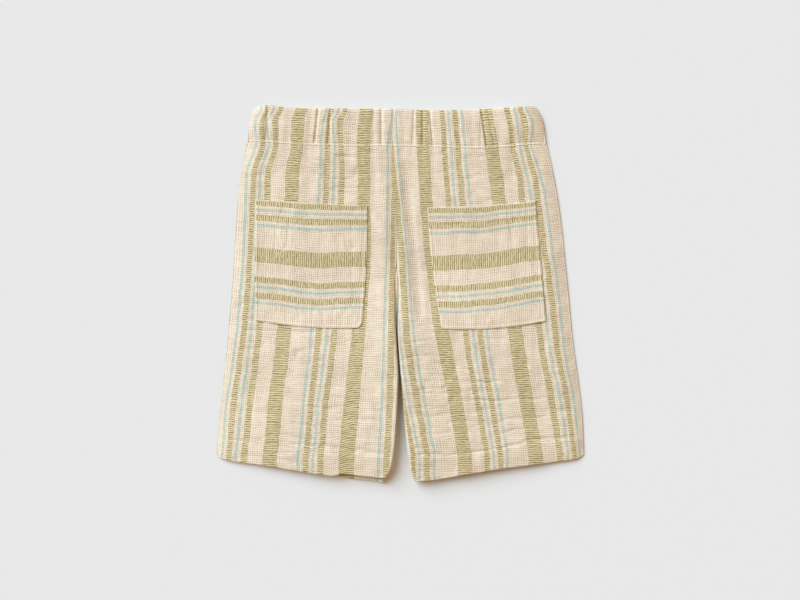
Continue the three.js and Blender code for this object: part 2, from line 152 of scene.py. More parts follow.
# Sections across the legs at a height y: the outer sides, and the inner edges, which are the
# centre seam above the crotch and the inner leg folds below it.
WAIST_SECTION = 153.5
SECTIONS = {
    "y": [153.5, 123.5, 93.5, 63.5, 31.5, 8.5, -31.5, -56.5, -82.5, -102.5, -124.5, -153.5, -170.5,
        -178, -184.5, -189],
    "left_side": [-153.5, -159, -163, -165.1, -167.1, -168.7, -172, -174.3, -176.8, -179, -181.5,
        -184.25, -184.5, -184.5, -184.5, -184.5],
    "left_inner": [-7.65, -5.4, -4.45, -4.05, -3.95, -5, -4.8, -3.4, -1.8, -2.3, -3.3, -5.4, -7.9,
        -10.5, -14.5, -18.5],
    "right_inner": [-7.55, -5.3, -4.35, -3.95, -3.85, -1.8, -3, -1.9, 0.2, 1.9, 3.6, 6.4, 8.6, 10.6,
        13, 15.5],
    "right_side": [145.5, 152, 157.5, 161.5, 164.7, 167.1, 170.7, 173.5, 177.1, 179.7, 181.9, 183.2,
        183.6, 183.8, 184, 184],
}

# The hem's edge, from the outer side (share 0) to the inner leg fold (share 1).
HEM_LINE = {
    "share": [0, 0.03, 0.08, 0.28, 0.48, 0.67, 0.87, 1],
    "left": [-162, -165.2, -167.6, -172.2, -177.8, -182.2, -186.5, -188.5],
    "right": [-161.5, -165, -166.6, -171, -175.4, -180.4, -185.8, -187.6],
}

WAIST_LINE = {
    "x": [-154, -138.5, -100, -55, -7.5, 36, 72, 104, 122, 147],
    "seam": [152.6, 151.3, 148.4, 147, 147, 145.9, 144.8, 146, 147.9, 149.6],
    "top": [188, 188.5, 186, 185.4, 185, 183.6, 184.3, 186, 187.6, 187],
}

# The waistband's side folds lean in towards the top. level 0 is the seam and 1 the top edge.
BAND_ENDS = {
    "level": [0, 0.3, 0.6, 0.8, 1],
    "left": [-153.4, -152.4, -150.6, -148, -142.8],
    "right": [145.7, 144.3, 142.5, 139.2, 134],
}

# Gathers on the seat side: x at the waist seam, lean to the top edge, depth and half width in
# the band, depth and half width in the panel below, and how far down the panel it reaches.
BACK_GATHERS = [
    (-148, 6, 0.4, 2.6, 0.2, 3, 20),
    (-134.8, 2, 1.4, 1.8, 0.5, 3.8, 40),
    (-131.8, -1, 0.7, 1, 0.3, 1.6, 20),
    (-122.5, 3, 0.4, 2.4, 0.3, 3.4, 25),
    (-113.5, 2, 0.3, 2.8, 0.4, 4, 35),
    (-92, 3, 0.3, 2.6, 1, 4.6, 55),
    (-86.3, 4, 2.5, 1.1, 0.3, 3, 25),
    (-72.5, 2.5, 1.5, 1.2, 0.2, 2, 18),
    (-61.5, 2, 0.5, 2.4, 0.4, 3.6, 30),
    (-50.5, 1, 0.3, 3, 0.5, 4, 40),
    (-27.5, 1, 0.5, 1.6, 0.9, 4, 55),
    (-19, 0, 1.5, 1.5, 0.4, 3.4, 30),
    (-8.5, 2, 0.7, 1.8, 0.6, 3.4, 30),
    (3.5, -2, 0.3, 2.6, 0.6, 3.8, 40),
    (12.2, 1.5, 0.9, 1.3, 0.5, 3.8, 40),
    (22.2, 0, 1.5, 1.2, 0.4, 3, 30),
    (32.6, -3.4, 1.7, 1.1, 0.8, 3.4, 35),
    (46.5, -2, 0.3, 2.6, 0.6, 4, 45),
    (58.5, -1, 0.6, 2.2, 0.7, 3.6, 30),
    (73.5, -3, 0.3, 3, 0.4, 3.4, 25),
    (80, 1, 0.5, 1.2, 0.3, 2.4, 20),
    (86.5, -5.5, 2, 1.1, 0.4, 3, 25),
    (94.5, -7.5, 0.6, 1.2, 0.3, 3, 25),
    (99, -3, 0.3, 2.8, 0.4, 3.8, 40),
    (112.5, -4, 0.6, 2.2, 0.9, 4.2, 55),
    (123.5, -2, 0.5, 2.2, 0.3, 3.2, 25),
    (136, -6, 0.3, 2.8, 0.3, 3.4, 30),
]

# Soft folds on the seat side: ends, height (under 0 for a trough) and half width.
BACK_FOLDS = [
    (-17, 110, -16, -20, 0.9, 7),
    (15, 110, 22, -10, 0.9, 6.5),
    (2, 128, 10, 50, -1.6, 4.2),
    (10, 50, 17, -20, -1.8, 5),
    (-150, 60, -158, -110, 0.5, 12),
    (148, 60, 158, -110, 0.6, 12),
    (-120, -60, -60, -70, 0.6, 16),
    (60, -64, 130, -54, 0.6, 16),
    (-60, -118, -20, -104, -0.5, 12),
    (70, -120, 120, -112, -0.5, 12),
    (-62, -174, -12, -182, -1.8, 13),
    (12, -180, 60, -178, -1.6, 12),
]

# Sharper creases across the lower legs: ends, depth and half width.
BACK_CREASES = [
    (-176, -146, -150, -147, -0.8, 1.2),
    (-151, -146, -118, -152, -1, 1.3),
    (-118, -149, -82, -151.5, -0.8, 1.3),
    (-84, -150, -40, -158, -1, 1.3),
    (-48, -156, -14, -160, -0.8, 1.3),
    (-160, -117, -128, -120, -0.5, 1.4),
    (-112, -130, -82, -134, -0.7, 1.4),
    (-96, -112, -60, -116, -0.7, 1.4),
    (-52, -124, -20, -127, -0.7, 1.4),
    (-150, -80, -112, -84, -0.5, 1.6),
    (-90, -66, -56, -70, -0.5, 1.6),
    (58, -108, 150, -104, -0.8, 1.4),
    (96, -128, 150, -122, -0.7, 1.4),
    (16, -162, 52, -161, -0.9, 1.3),
    (52, -160, 94, -155, -1.3, 1.3),
    (94, -155, 132, -146, -1.3, 1.3),
    (132, -146, 178, -144, -1.4, 1.3),
    (60, -90, 104, -87, -0.7, 1.4),
    (92, -140, 132, -134, -0.7, 1.4),
    (30, -70, 62, -74, -0.5, 1.4),
    (70, -44, 120, -48, -0.5, 1.4),
]

# Patch pockets: corners from above, the bow of each edge out of its straight line, and the
# radius of the two lower corners.
POCKETS = {
    "left": {
        "top": ((-144.5, 93.9), (-32.8, 86.9)), "bottom": ((-145.7, -27.4), (-38.4, -34.8)),
        "bows": (-0.4, -2.4, -0.2, 1.3), "radii": (2, 7),
    },
    "right": {
        "top": ((135, 92.9), (27, 86.1)), "bottom": ((145.6, -28.2), (41.5, -35.6)),
        "bows": (-1.4, -3, 0.3, -2.2), "radii": (2, 3),
    },
}
POCKET_PUFF = 0.5
POCKET_CLOTH = 1.4
POCKET_EDGE_CLOTH = 0.65
POCKET_LEAST_CLOTH = 0.3
POCKET_GAP = 0.15  # between a pocket and its panel
POCKET_EDGE = 3.0  # how far in from its edge a pocket rounds down
POCKET_TOP_ROUND = 1.2
POCKET_TOP_WAVER = 0.7
# Ridge or groove of a pocket: height, how far in from the edge, half width
POCKET_ROLL = (0.2, 1.4, 1.1)
POCKET_STITCH_GROOVE = (0.4, 3.6, 0.8)
POCKET_HEM_GROOVE = (0.5, 17.0, 1.8)

RIGHT_LEG_CUT = 750.0  # a whole number of stripe repeats
STRIPE_WAVER = 0.5  # how far the stripes waver in the crinkled cloth
POCKET_WAVER = 0.8
POCKET_WEFT_START = 200.0
POCKET_WEFT_STRETCH = 1.06

# Where the cloth's own width, in mm from the outer side, lies at each height y.
GRAIN = {
    "left": {
        "cut": [0, 6.7, 14.7, 23.3, 30.6, 55, 82.4, 90, 98, 106, 130, 157.4, 162, 168],
        "rows": [
            (183.5, [-144, -140.5, -133.4, -127, -119.9, -99.5, -74, -69, -61.5, -55.8, -34.5,
                -7.9, -3.7, 1.7]),
            (173.5, [-151.5, -146.2, -137.8, -132.8, -125.6, -102.9, -76.7, -72, -67.3, -60.1,
                -34.9, -8.6, -5, 0.5]),
            (163.5, [-152.5, -145.9, -138.7, -133.2, -125.3, -103.1, -78.5, -72.4, -67.5, -60.2,
                -35.6, -11.2, -6.9, -1.8]),
            (150.5, [-153, -145, -137.8, -130.9, -125.1, -103.6, -79.7, -72.8, -65.5, -59.5, -36,
                -13.3, -8.8, -5]),
            (143.5, [-154.5, -146.5, -139, -132.3, -125.9, -104.5, -79.3, -72.8, -65.7, -59.5,
                -36.2, -13.1, -8.9, -4.9]),
            (123.5, [-160, -154.2, -145.6, -139.2, -132.5, -107.8, -80.7, -73.5, -66.5, -58.8,
                -36.1, -13.2, -9, -4.7]),
            (93.5, [-163.5, -155.7, -148.3, -141.5, -133.8, -109, -81.9, -75, -67.5, -59.5, -36.1,
                -13.2, -9, -4.7]),
            (43.5, [-166.5, -158, -150.5, -143.7, -136, -111.5, -84.5, -77.5, -69.9, -62.2, -35,
                -13.7, -9.8, -5.6]),
            (-40.5, [-172.5, -164.6, -157.4, -149.5, -142.4, -116.7, -89.5, -81.5, -73.6, -66.4,
                -41.6, -16.7, -12.8, -6.6]),
            (-106.5, [-180, -174.1, -167, -157.8, -150.6, -124.6, -96.2, -89.1, -81.9, -74.6, -48.7,
                -18.4, -13.8, -7.6]),
            (-166.5, [-184.5, -180, -172.8, -165, -157.2, -130.4, -102.9, -93.9, -87.4, -79.8,
                -54.6, -22.1, -17.2, -11.2]),
        ],
    },
    "right": {
        "cut": [181, 173.2, 168, 162, 157.4, 130, 106, 98, 90, 82.4, 55, 30.6, 23.3, 14.7, 6.7, -8],
        "rows": [
            (183.5, [-24.5, -17.5, -13, -7.8, -3.8, 21.6, 41.4, 48, 53.9, 60.3, 84.9, 106.3,
                113.3, 120.3, 126.8, 136]),
            (173.5, [-26, -19, -14.6, -9.4, -5.2, 22.1, 42.2, 48.3, 55.4, 62.5, 87.2, 109.4, 116.1,
                124.2, 132.4, 143]),
            (163.5, [-24, -17, -12.7, -7.8, -4.1, 22.4, 42.9, 48.5, 55.8, 62.8, 88.6, 111.4, 117.4,
                125.3, 133, 146]),
            (150.5, [-23, -16, -12, -7, -2.9, 22.5, 43.8, 50.3, 57.4, 64.1, 91.5, 113.2, 119, 125.1,
                130.5, 147.5]),
            (143.5, [-22, -15, -11.5, -6.9, -2.6, 22.6, 43.8, 50.3, 57.4, 64.5, 92, 113.4, 120.4,
                127.4, 132.6, 148.5]),
            (113.5, [-16, -11.5, -8, -3.5, -0.2, 24.2, 46.3, 52.8, 60.2, 67.9, 96.2, 120, 127.4,
                135, 142.2, 156]),
            (93.5, [-12, -8.5, -5.6, -0.6, 1, 25.2, 48, 54.1, 61.5, 69.8, 98.8, 122.1, 131, 137.9,
                146.6, 159.5]),
            (53.5, [-10, -6.5, -3, 2.9, 5, 28.4, 53, 60, 67, 75, 104, 128.5, 135.5, 142.7, 151.3,
                163.8]),
            (31.5, [-8, -4.5, -1.5, 5, 7.6, 31, 56, 63.5, 70.5, 78.5, 107.5, 132, 138.7, 146.4, 155,
                166.5]),
            (-28.5, [-8, -2, 2.1, 8.5, 12, 39.2, 64.3, 71.5, 78.7, 86.1, 113.8, 139, 146, 154.2,
                162.7, 172.5]),
            (-56.5, [-5, 0.6, 4.6, 11.4, 15.6, 45.2, 67.1, 74.8, 81.8, 88.7, 117.4, 142.3, 149.8,
                156.8, 164.8, 176]),
            (-106.5, [3, 7.6, 13.3, 19.5, 24, 55.4, 76.2, 83.8, 90.1, 98.2, 125.4, 151.4, 159.8,
                166.9, 174.8, 182.5]),
            (-161.5, [13, 18.7, 23.8, 29.8, 34, 64.9, 86.6, 93.5, 100, 107, 135.7, 159.9, 167.8,
                174.5, 180.2, 186]),
        ],
    },
}

# The same for the pockets, cut across the stripes: x, and the height y at each cut width.
POCKET_GRAIN = {
    "left": {
        "cut": [-14, 7.4, 15, 23, 31, 55, 82.4, 90, 98, 106, 112],
        "rows": [
            (-142.5, [-29.5, -8.9, -2.2, 7, 14.3, 38.9, 68.9, 76.3, 84.2, 90.8, 95.5]),
            (-85.5, [-35, -15.3, -8.3, 0.6, 7.7, 33.2, 63.8, 71.5, 79.7, 86.9, 92]),
            (-34.5, [-35.5, -13.8, -7.7, 1.3, 8.3, 34.3, 64.5, 71.5, 79.3, 85.8, 90.5]),
        ],
    },
    "right": {
        "cut": [-12, 7.4, 15, 23, 31, 55, 82.4, 90, 98, 106, 112],
        "rows": [
            (31.5, [-36, -19.1, -11.3, -3.5, 4.5, 30.3, 60.2, 67.9, 76.3, 82.6, 87.5]),
            (82.5, [-36.5, -17, -9.5, -1.2, 6.6, 32.5, 62.2, 69.4, 77.6, 83.6, 88.8]),
            (139.5, [-27, -6.5, -0.2, 9, 16.3, 41.2, 70.7, 77, 84.7, 90.3, 94.5]),
        ],
    },
}

# The stripes repeat over the cut width: (middle, width) in mm within a repeat.
STRIPE_REPEAT = 75.0
STRIPE_START = 48.0
GREEN_STRIPES = [(7.0, 14.0), (42.0, 6.0), (58.0, 6.0)]
BLUE_LINES = [(34.5, 2.8), (50.0, 2.8)]
WEFT_PITCH = 2.2  # two thick weft yarns side by side make one rib
WARP_PITCH = 2.0

# Random patches of the cloth: size across and along in mm, lowest and highest value, detail
RIB_WAVER = ((26.0, 9.0), -0.45, 0.45)
RIB_STEP = ((5.0, 2.5), -0.16, 0.16, 0.0)
YARN_SWAY = ((6.0, 18.0), -0.5, 0.5)
RAGGED_STRIPE = ((40.0, 1.1), -0.35, 0.35, 0.0)
OPEN_WEAVE = ((20.0, 14.0), 0.25, 1.0, 2.0)
SLUBS = ((9.0, 1.5), 0.0, 1.0)
DYE_SHADE = ((5.0, 2.0), 0.5, 1.0)
UNEVEN_CLOTH = ((60.0, 45.0), 0.93, 1.0, 2.0)

# Beside the centre seam a strip of the right leg is woven more loosely. The gap colour is also laid
# evenly over the strip as painted shade of the crease trough that runs there.
LOOSE_STRIP_CUT = 151.5
LOOSE_STRIP_WIDTH = 6.5
LOOSE_STRIP_MIDDLE = 95.0
LOOSE_STRIP_LENGTH = 150.0
LOOSE_STRIP_PAINTED_SHADE = 0.22

GAP_SHARPNESS = 1.3
LOOSE_STRIP_GAPS = 0.8
# The dyed warp shows between the ribs: from and to which height of a rib, and how strongly
GREEN_BAR = (0.3, 0.6, 0.0, 1.0)
BLUE_DASH = (0.2, 0.7, 0.45, 1.0)
# Relief of the weave: ribs on the plain cloth, ribs added by a green stripe, gaps, slubs
PLAIN_RIBS = 0.3
STRIPE_RIBS = 0.4
PITS = -0.9
SLUB_RIDGES = 0.3
RELIEF_DEPTH = 0.35

# Stitches
STITCH_LENGTH = 2.4
STITCH_PITCH = 2.9
STITCH_RADIUS = 0.32
WAIST_STITCH_RADIUS = 0.6
STITCH_RINGS = [(-0.5, 0.35), (-0.3, 1.0), (0.3, 1.0), (0.5, 0.35)]  # place along it, thickness
STITCH_SIDES = 6
STITCH_DIP = 0.25  # how far its ends dip into the cloth
# Height of the stitches over a hem, at a pocket's edge, and at the waist seam
HEM_STITCH_LIFT = 0.15
POCKET_STITCH_LIFT = 0.95
WAIST_STITCH_LIFT = 0.1
HEM_STITCH_ENDS = (0.04, 0.96)  # share of the leg's width
POCKET_STITCH_INSET = 0.032  # share of the pocket's width and length
POCKET_STITCH_TOP = 0.03
WAIST_STITCH_ENDS = (-149, 143)
WAIST_STITCH_UP = 1.0  # how far above the seam they lie

# Floor, light and camera, in metres and degrees
FLOOR_HALF = 4.0
FLOOR_SINK = 0.0002
KEY_SPREAD = 54
KEY_HEADING = (0.76, -0.65)  # it shines from the upper left of the picture
KEY_ABOVE_FLOOR = 40
CLOTH_TOP = 0.006
SENSOR_WIDTH = 36


def smooth_table(xs, ys, at):
    """The table's value at each place, joined by smooth curves; xs rise or fall steadily."""
    xs, ys = np.asarray(xs, float), np.asarray(ys, float)
    if xs[0] > xs[-1]:
        xs, ys = xs[::-1], ys[::-1]
    at = np.clip(at, xs[0], xs[-1])
    slopes = np.empty_like(ys)
    slopes[1:-1] = (ys[2:] - ys[:-2]) / (xs[2:] - xs[:-2])
    slopes[0] = (ys[1] - ys[0]) / (xs[1] - xs[0])
    slopes[-1] = (ys[-1] - ys[-2]) / (xs[-1] - xs[-2])
    i = np.clip(np.searchsorted(xs, at, side="right") - 1, 0, len(xs) - 2)
    span = xs[i + 1] - xs[i]
    f = (at - xs[i]) / span
    f2, f3 = f * f, f * f * f
    return ((2 * f3 - 3 * f2 + 1) * ys[i] + (f3 - 2 * f2 + f) * span * slopes[i]
            + (3 * f2 - 2 * f3) * ys[i + 1] + (f3 - f2) * span * slopes[i + 1])


def section(column, y):
    return smooth_table(SECTIONS["y"], SECTIONS[column], y)


def inner_x(side, y, is_back):
    """Inner edge of a panel. The front panels stay sewn together a little lower down."""
    own = section(side + "_inner", y)
    if is_back:
        sewn = section("left_inner", y) + SEAM_GAP
        return own if side == "left" else np.where(y > CROTCH_Y, sewn, own)
    left, right = section("left_inner", y), section("right_inner", y)
    seam = (left + right + (-SEAM_GAP if side == "left" else SEAM_GAP)) / 2
    return own + (seam - own) * ease(FRONT_CROTCH_Y, FRONT_CROTCH_Y + FRONT_CROTCH_BLEND, y)


def waist_y(x):
    return smooth_table(WAIST_LINE["x"], WAIST_LINE["seam"], x)


def top_y(x):
    return smooth_table(WAIST_LINE["x"], WAIST_LINE["top"], x)


def bell(distance, width):
    return np.exp(-((distance / width) ** 2))


def turn_over(distance, radius):
    return np.sqrt(1 - (1 - np.clip(distance / radius, 0, 1)) ** 2)


def slope_down(distance, radius):
    """0 at an edge and 1 away from it, in a flatter curve than turn_over's quarter circle."""
    return 1 - (1 - np.clip(distance / radius, 0, 1)) ** 2


def ease(low, high, at):
    f = np.clip((at - low) / (high - low), 0, 1)
    return f * f * (3 - 2 * f)


def legs_apart(y, is_back=True):
    """0 above the crotch, where the legs share the centre seam, and 1 where they are apart."""
    crotch, blend = CROTCH_Y, CROTCH_BLEND
    if not is_back:
        crotch, blend = FRONT_CROTCH_Y, FRONT_CROTCH_BLEND
    return ease(-crotch - blend * 0.3, -crotch + blend, -y)


def value_noise(x, y, seed):
    """Smooth noise from -1 to 1 with one cell per unit, the same on every run.

    Its callers divide x and y by the size of a cell in mm.
    """
    xi, yi = np.floor(x), np.floor(y)
    fx, fy = x - xi, y - yi
    fx, fy = fx * fx * (3 - 2 * fx), fy * fy * (3 - 2 * fy)

    def corner(i, j):
        n = np.sin((xi + i) * 127.1 + (yi + j) * 311.7 + seed * 74.7) * 43758.5453
        return (n - np.floor(n)) * 2 - 1

    low = corner(0, 0) * (1 - fx) + corner(1, 0) * fx
    high = corner(0, 1) * (1 - fx) + corner(1, 1) * fx
    return low * (1 - fy) + high * fy


def along_lines(lines, x, y, waver=0.0):
    """Ridges and troughs along straight lines that fade towards their ends."""
    total = np.zeros_like(x)
    for x0, y0, x1, y1, height, width in lines:
        dx, dy = x1 - x0, y1 - y0
        length2 = dx * dx + dy * dy
        t = ((x - x0) * dx + (y - y0) * dy) / length2
        off = ((x - x0) * dy - (y - y0) * dx) / math.sqrt(length2)
        off = off + waver * value_noise(t * 5, t * 0 + x0, CREASE_SEED)
        fade = ease(-0.12, 0.2, t) * ease(-0.12, 0.2, 1 - t)
        total += height * bell(off, width) * fade
    return total


def crinkles(x, y, depth, seed):
    """Thin wavering creases across the cloth, and the soft quilting of crinkled gauze."""
    across = value_noise(x / 30, y / 6.5, seed)
    creased = ease(-0.5, 0.6, value_noise(x / 55, y / 40, seed + 1))
    lines = -((1 - np.abs(across)) ** 7) * creased
    soft = value_noise(x / 9, y / 7, seed + 2) * 0.35 + value_noise(x / 5, y / 24, seed + 3) * 0.3
    return depth * (lines + soft)


def panel_gathers(x, y):
    below = np.maximum(waist_y(x) - y, 0)
    total = np.zeros_like(x)
    for place, _, _, _, depth, width, reach in BACK_GATHERS:
        total -= depth * bell(x - place, width) * bell(below, reach)
    return total


def band_gathers(x, level):
    total = np.zeros_like(x)
    for place, lean, depth, width, _, _, _ in BACK_GATHERS:
        total -= depth * bell(x - place - lean * level, width)
    return total


def edge_distances(side, x, y, is_back=True):
    return np.abs(x - section(side + "_side", y)), np.abs(inner_x(side, y, is_back) - x)


def turned(side, x, y, cloth=0.0, is_back=True):
    """How far a face of a panel has turned over: 0 at a leg's edge, 1 away from it."""
    out, inner = edge_distances(side, x, y, is_back)
    apart = legs_apart(y, is_back)
    radius = EDGE_ROUND if is_back else FRONT_ROUND
    fold = 1 + (turn_over(inner, radius + cloth) - 1) * apart
    return slope_down(out, SIDE_ROUND + cloth) * fold


def leg_growth(y):
    """How much of its height the roll along an inner leg has: 0 at the crotch and 1 low down."""
    grown = ease(-CROTCH_Y, LEG_CROWN_REACH - CROTCH_Y, -y)
    return grown * (1 - LEG_FALL * ease(-LEG_FALL_START, -LEG_FALL_END, -y))


def seam_height(side, x, y):
    """Height where the two layers meet, from the outer side to the inner leg fold."""
    out, inner = edge_distances(side, x, y)
    rise = (LEG_SEAM_HEIGHT - SIDE_SEAM_HEIGHT) * out / (out + inner)
    return SIDE_SEAM_HEIGHT + rise * leg_growth(y)


def back_form(side, x, y):
    """Height of the upper layer's top before its edges turn over."""
    out, inner = edge_distances(side, x, y)
    apart = legs_apart(y)
    side_rise = (SIDE_CROWN - MIDDLE_HEIGHT) * bell(np.maximum(out - SIDE_ROUND, 0), CROWN_FADE)
    leg_rise = (LEG_CROWN - MIDDLE_HEIGHT) * (out / (out + inner)) ** LEG_RISE_POWER
    below = np.maximum(waist_y(x) - y, 0)
    to_crotch = np.clip((waist_y(x) - y) / (waist_y(x) - CROTCH_Y), 0, 1)
    share = SEAT_DIP_AT_WAIST + (1 - SEAT_DIP_AT_WAIST) * to_crotch
    dip = (1 - apart) * SEAT_DIP * share * bell(inner, SEAT_VALLEY)
    return (MIDDLE_HEIGHT + side_rise + leg_growth(y) * leg_rise
            + WAIST_RISE * bell(below, WAIST_RISE_FADE) - dip
            + along_lines(BACK_FOLDS, x, y) + panel_gathers(x, y))


def back_height(side, x, y):
    edge = seam_height(side, x, y) + SEAM_GAP / 2
    return edge + (back_form(side, x, y) - edge) * turned(side, x, y)


def seat_height(x, y):
    """Height of the upper layer's top where it belongs to either leg."""
    seam = section("left_inner", y)
    return np.where(x < seam, back_height("left", np.minimum(x, seam), y),
                    back_height("right", np.maximum(x, seam + SEAM_GAP), y))


def front_ridge(side, x, y):
    """Below the crotch the front's centre seam stands up into the gap between the legs."""
    inner = edge_distances(side, x, y, False)[1]
    sewn = legs_apart(y) * (1 - legs_apart(y, False))
    return FRONT_RIDGE * sewn * bell(inner, FRONT_RIDGE_WIDTH)


def front_height(side, x, y):
    edge = seam_height(side, x, y) - SEAM_GAP / 2
    return edge * (1 - turned(side, x, y, is_back=False)) + front_ridge(side, x, y)


def cut_width(side, x, y):
    """The cloth's own width at a point of a leg; the right leg is cut from further along."""
    waver = STRIPE_WAVER * value_noise(x / 16, y / 11, STRIPE_SEED)
    return grain_at(GRAIN[side], y, x) + waver + (RIGHT_LEG_CUT if side == "right" else 0.0)


def grain_at(grain, key, across):
    """The cloth's own width at each point, from the table row for its key and its place across."""
    rows = grain["rows"]
    keys = [row[0] for row in rows]
    lines = [smooth_table(keys, [row[1][k] for row in rows], key) for k in range(len(grain["cut"]))]
    cut = grain["cut"]
    result = np.empty_like(across)
    for k in range(len(cut) - 1):
        f = (across - lines[k]) / (lines[k + 1] - lines[k])
        value = cut[k] + f * (cut[k + 1] - cut[k])
        here = across >= lines[k] if k else np.ones(across.shape, bool)
        result = np.where(here, value, result)
    return result


def shares(width, step, end_round):
    """Places from 0 to width, close together near both ends, where the cloth turns over."""
    ends = np.array([0, 0.02, 0.07, 0.15, 0.26, 0.4, 0.57, 0.77, 1.0]) * end_round
    count = max(int(round((width - 2 * end_round) / step)), 2)
    middle = np.linspace(end_round, width - end_round, count + 1)[1:-1]
    return np.concatenate([ends, middle, width - ends[::-1]]) / width


def shared_out(along, nominal, width, end):
    """Places over the real width: near both ends they keep their distance from the end."""
    stretch = (width - 2 * end) / (nominal - 2 * end)
    return np.where(along < end, along, np.where(
        along > nominal - end, width - (nominal - along), end + (along - end) * stretch))


def grid_quads(rows, cols, offset=0, flip=False, ring=False):
    i, j = np.meshgrid(np.arange(rows - 1), np.arange(cols if ring else cols - 1), indexing="ij")
    i, j = i.ravel(), j.ravel()
    n = (j + 1) % cols
    quads = np.stack([i * cols + j, (i + 1) * cols + j, (i + 1) * cols + n, i * cols + n], 1)
    return (quads[:, ::-1] if flip else quads) + offset


def rim_quads(line_a, line_b, flip):
    quads = np.stack([line_a[:-1], line_a[1:], line_b[1:], line_b[:-1]], 1)
    return quads[:, ::-1] if flip else quads


def shell(name, outside, inside, uv, material, facing=True, ring=False, corner_uv=None):
    """A closed cloth of little thickness: two grids of points, rows x columns x 3, joined round
    their edges.
    """
    rows, cols = outside.shape[:2]
    n = rows * cols
    points = np.concatenate([outside.reshape(-1, 3), inside.reshape(-1, 3)]) * MM
    ids = np.arange(n).reshape(rows, cols)
    faces = [grid_quads(rows, cols, 0, not facing, ring), grid_quads(rows, cols, n, facing, ring)]
    edge = np.append(ids[0], ids[0, 0]) if ring else ids[0]
    last = np.append(ids[-1], ids[-1, 0]) if ring else ids[-1]
    faces.append(rim_quads(edge, edge + n, not facing))
    faces.append(rim_quads(last, last + n, facing))
    if not ring:
        faces.append(rim_quads(ids[:, 0], ids[:, 0] + n, facing))
        faces.append(rim_quads(ids[:, -1], ids[:, -1] + n, not facing))
    quads = np.concatenate(faces)
    mesh = bpy.data.meshes.new(name)
    mesh.from_pydata(points.tolist(), [], quads.tolist())
    layer = mesh.uv_layers.new(name="cut_cloth")
    flat_uv = np.concatenate([uv.reshape(-1, 2)] * 2) * MM
    corners = flat_uv[quads] if corner_uv is None else corner_uv(quads, n) * MM
    layer.data.foreach_set("uv", corners.ravel())
    # The faces are smooth and the narrow rims flat, so the faces keep their light up to the rim.
    mesh.polygons.foreach_set("use_smooth", np.arange(len(quads)) < len(faces[0]) * 2)
    mesh.materials.append(material)
    mesh.validate()
    piece = bpy.data.objects.new(name, mesh)
    bpy.context.scene.collection.objects.link(piece)
    return piece


def grid_area(points):
    """Area of a grid of points in mm, in square metres."""
    a = points[1:, :-1] - points[:-1, :-1]
    b = points[:-1, 1:] - points[:-1, :-1]
    return float(np.linalg.norm(np.cross(a, b), axis=2).sum()) * MM * MM


def dress(piece, node, flat, area):
    """Hangs a piece of cloth under the root and hides the solid whose place it takes."""
    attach(piece, "root")
    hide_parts(node)
    area = min(area, flat[0] * flat[1])


def linear(hex_colour):
    """An sRGB hex colour as linear RGBA."""
    values = [int(hex_colour[k:k + 2], 16) / 255 for k in (1, 3, 5)]
    return (*(v / 12.92 if v <= 0.04045 else ((v + 0.055) / 1.055) ** 2.4 for v in values), 1.0)


def colour_setting(name, description, hex_colour):
    return FloatVectorProperty(name=name, description=description, subtype="COLOR", size=4,
                               min=0, max=1, default=linear(hex_colour))


def node(tree, kind, inputs=(), **settings):
    """Adds one shader node with its settings.

    An input, given in order or by name, is a number, a colour, a socket, or a node whose first
    output is meant.
    """
    made = tree.nodes.new(kind)
    for key, value in settings.items():
        setattr(made, key, value)
    for key, value in inputs.items() if isinstance(inputs, dict) else enumerate(inputs):
        if isinstance(value, bpy.types.Node):
            value = value.outputs[0]
        if isinstance(value, bpy.types.NodeSocket):
            tree.links.new(value, made.inputs[key])
        else:
            made.inputs[key].default_value = value
    return made


def waves(tree, length, pitch):
    """From 0 to 1 and back over each pitch of a length."""
    turns = node(tree, "ShaderNodeMath", (length, 2 * math.pi / pitch), operation="MULTIPLY")
    sine = node(tree, "ShaderNodeMath", (turns,), operation="SINE")
    return node(tree, "ShaderNodeMath", (sine, 0.5, 0.5), operation="MULTIPLY_ADD")


def patches(tree, place, size, low, high, detail=1.0):
    """Soft random patches from low to high, of a size in mm across and along the cut cloth."""
    stretch = (1 / (size[0] * MM), 1 / (size[1] * MM), 1.0)
    mapped = node(tree, "ShaderNodeVectorMath", (place, stretch), operation="MULTIPLY")
    noise = node(tree, "ShaderNodeTexNoise", {"Vector": mapped, "Scale": 1.0, "Detail": detail},
                 noise_dimensions="2D")
    return node(tree, "ShaderNodeMapRange", (noise, 0.3, 0.7, low, high))


def striped(tree, cut, stripes):
    """1 on the stripes and 0 between them, over the cut width in mm."""
    moved = node(tree, "ShaderNodeMath", (cut, STRIPE_START), operation="SUBTRACT")
    repeat = node(tree, "ShaderNodeMath", (moved, STRIPE_REPEAT), operation="FLOORED_MODULO")
    total = 0.0
    for middle, width in stripes:
        here = node(tree, "ShaderNodeMath", (repeat, middle, width / 2), operation="COMPARE")
        total = node(tree, "ShaderNodeMath", (total, here), operation="MAXIMUM")
    return total


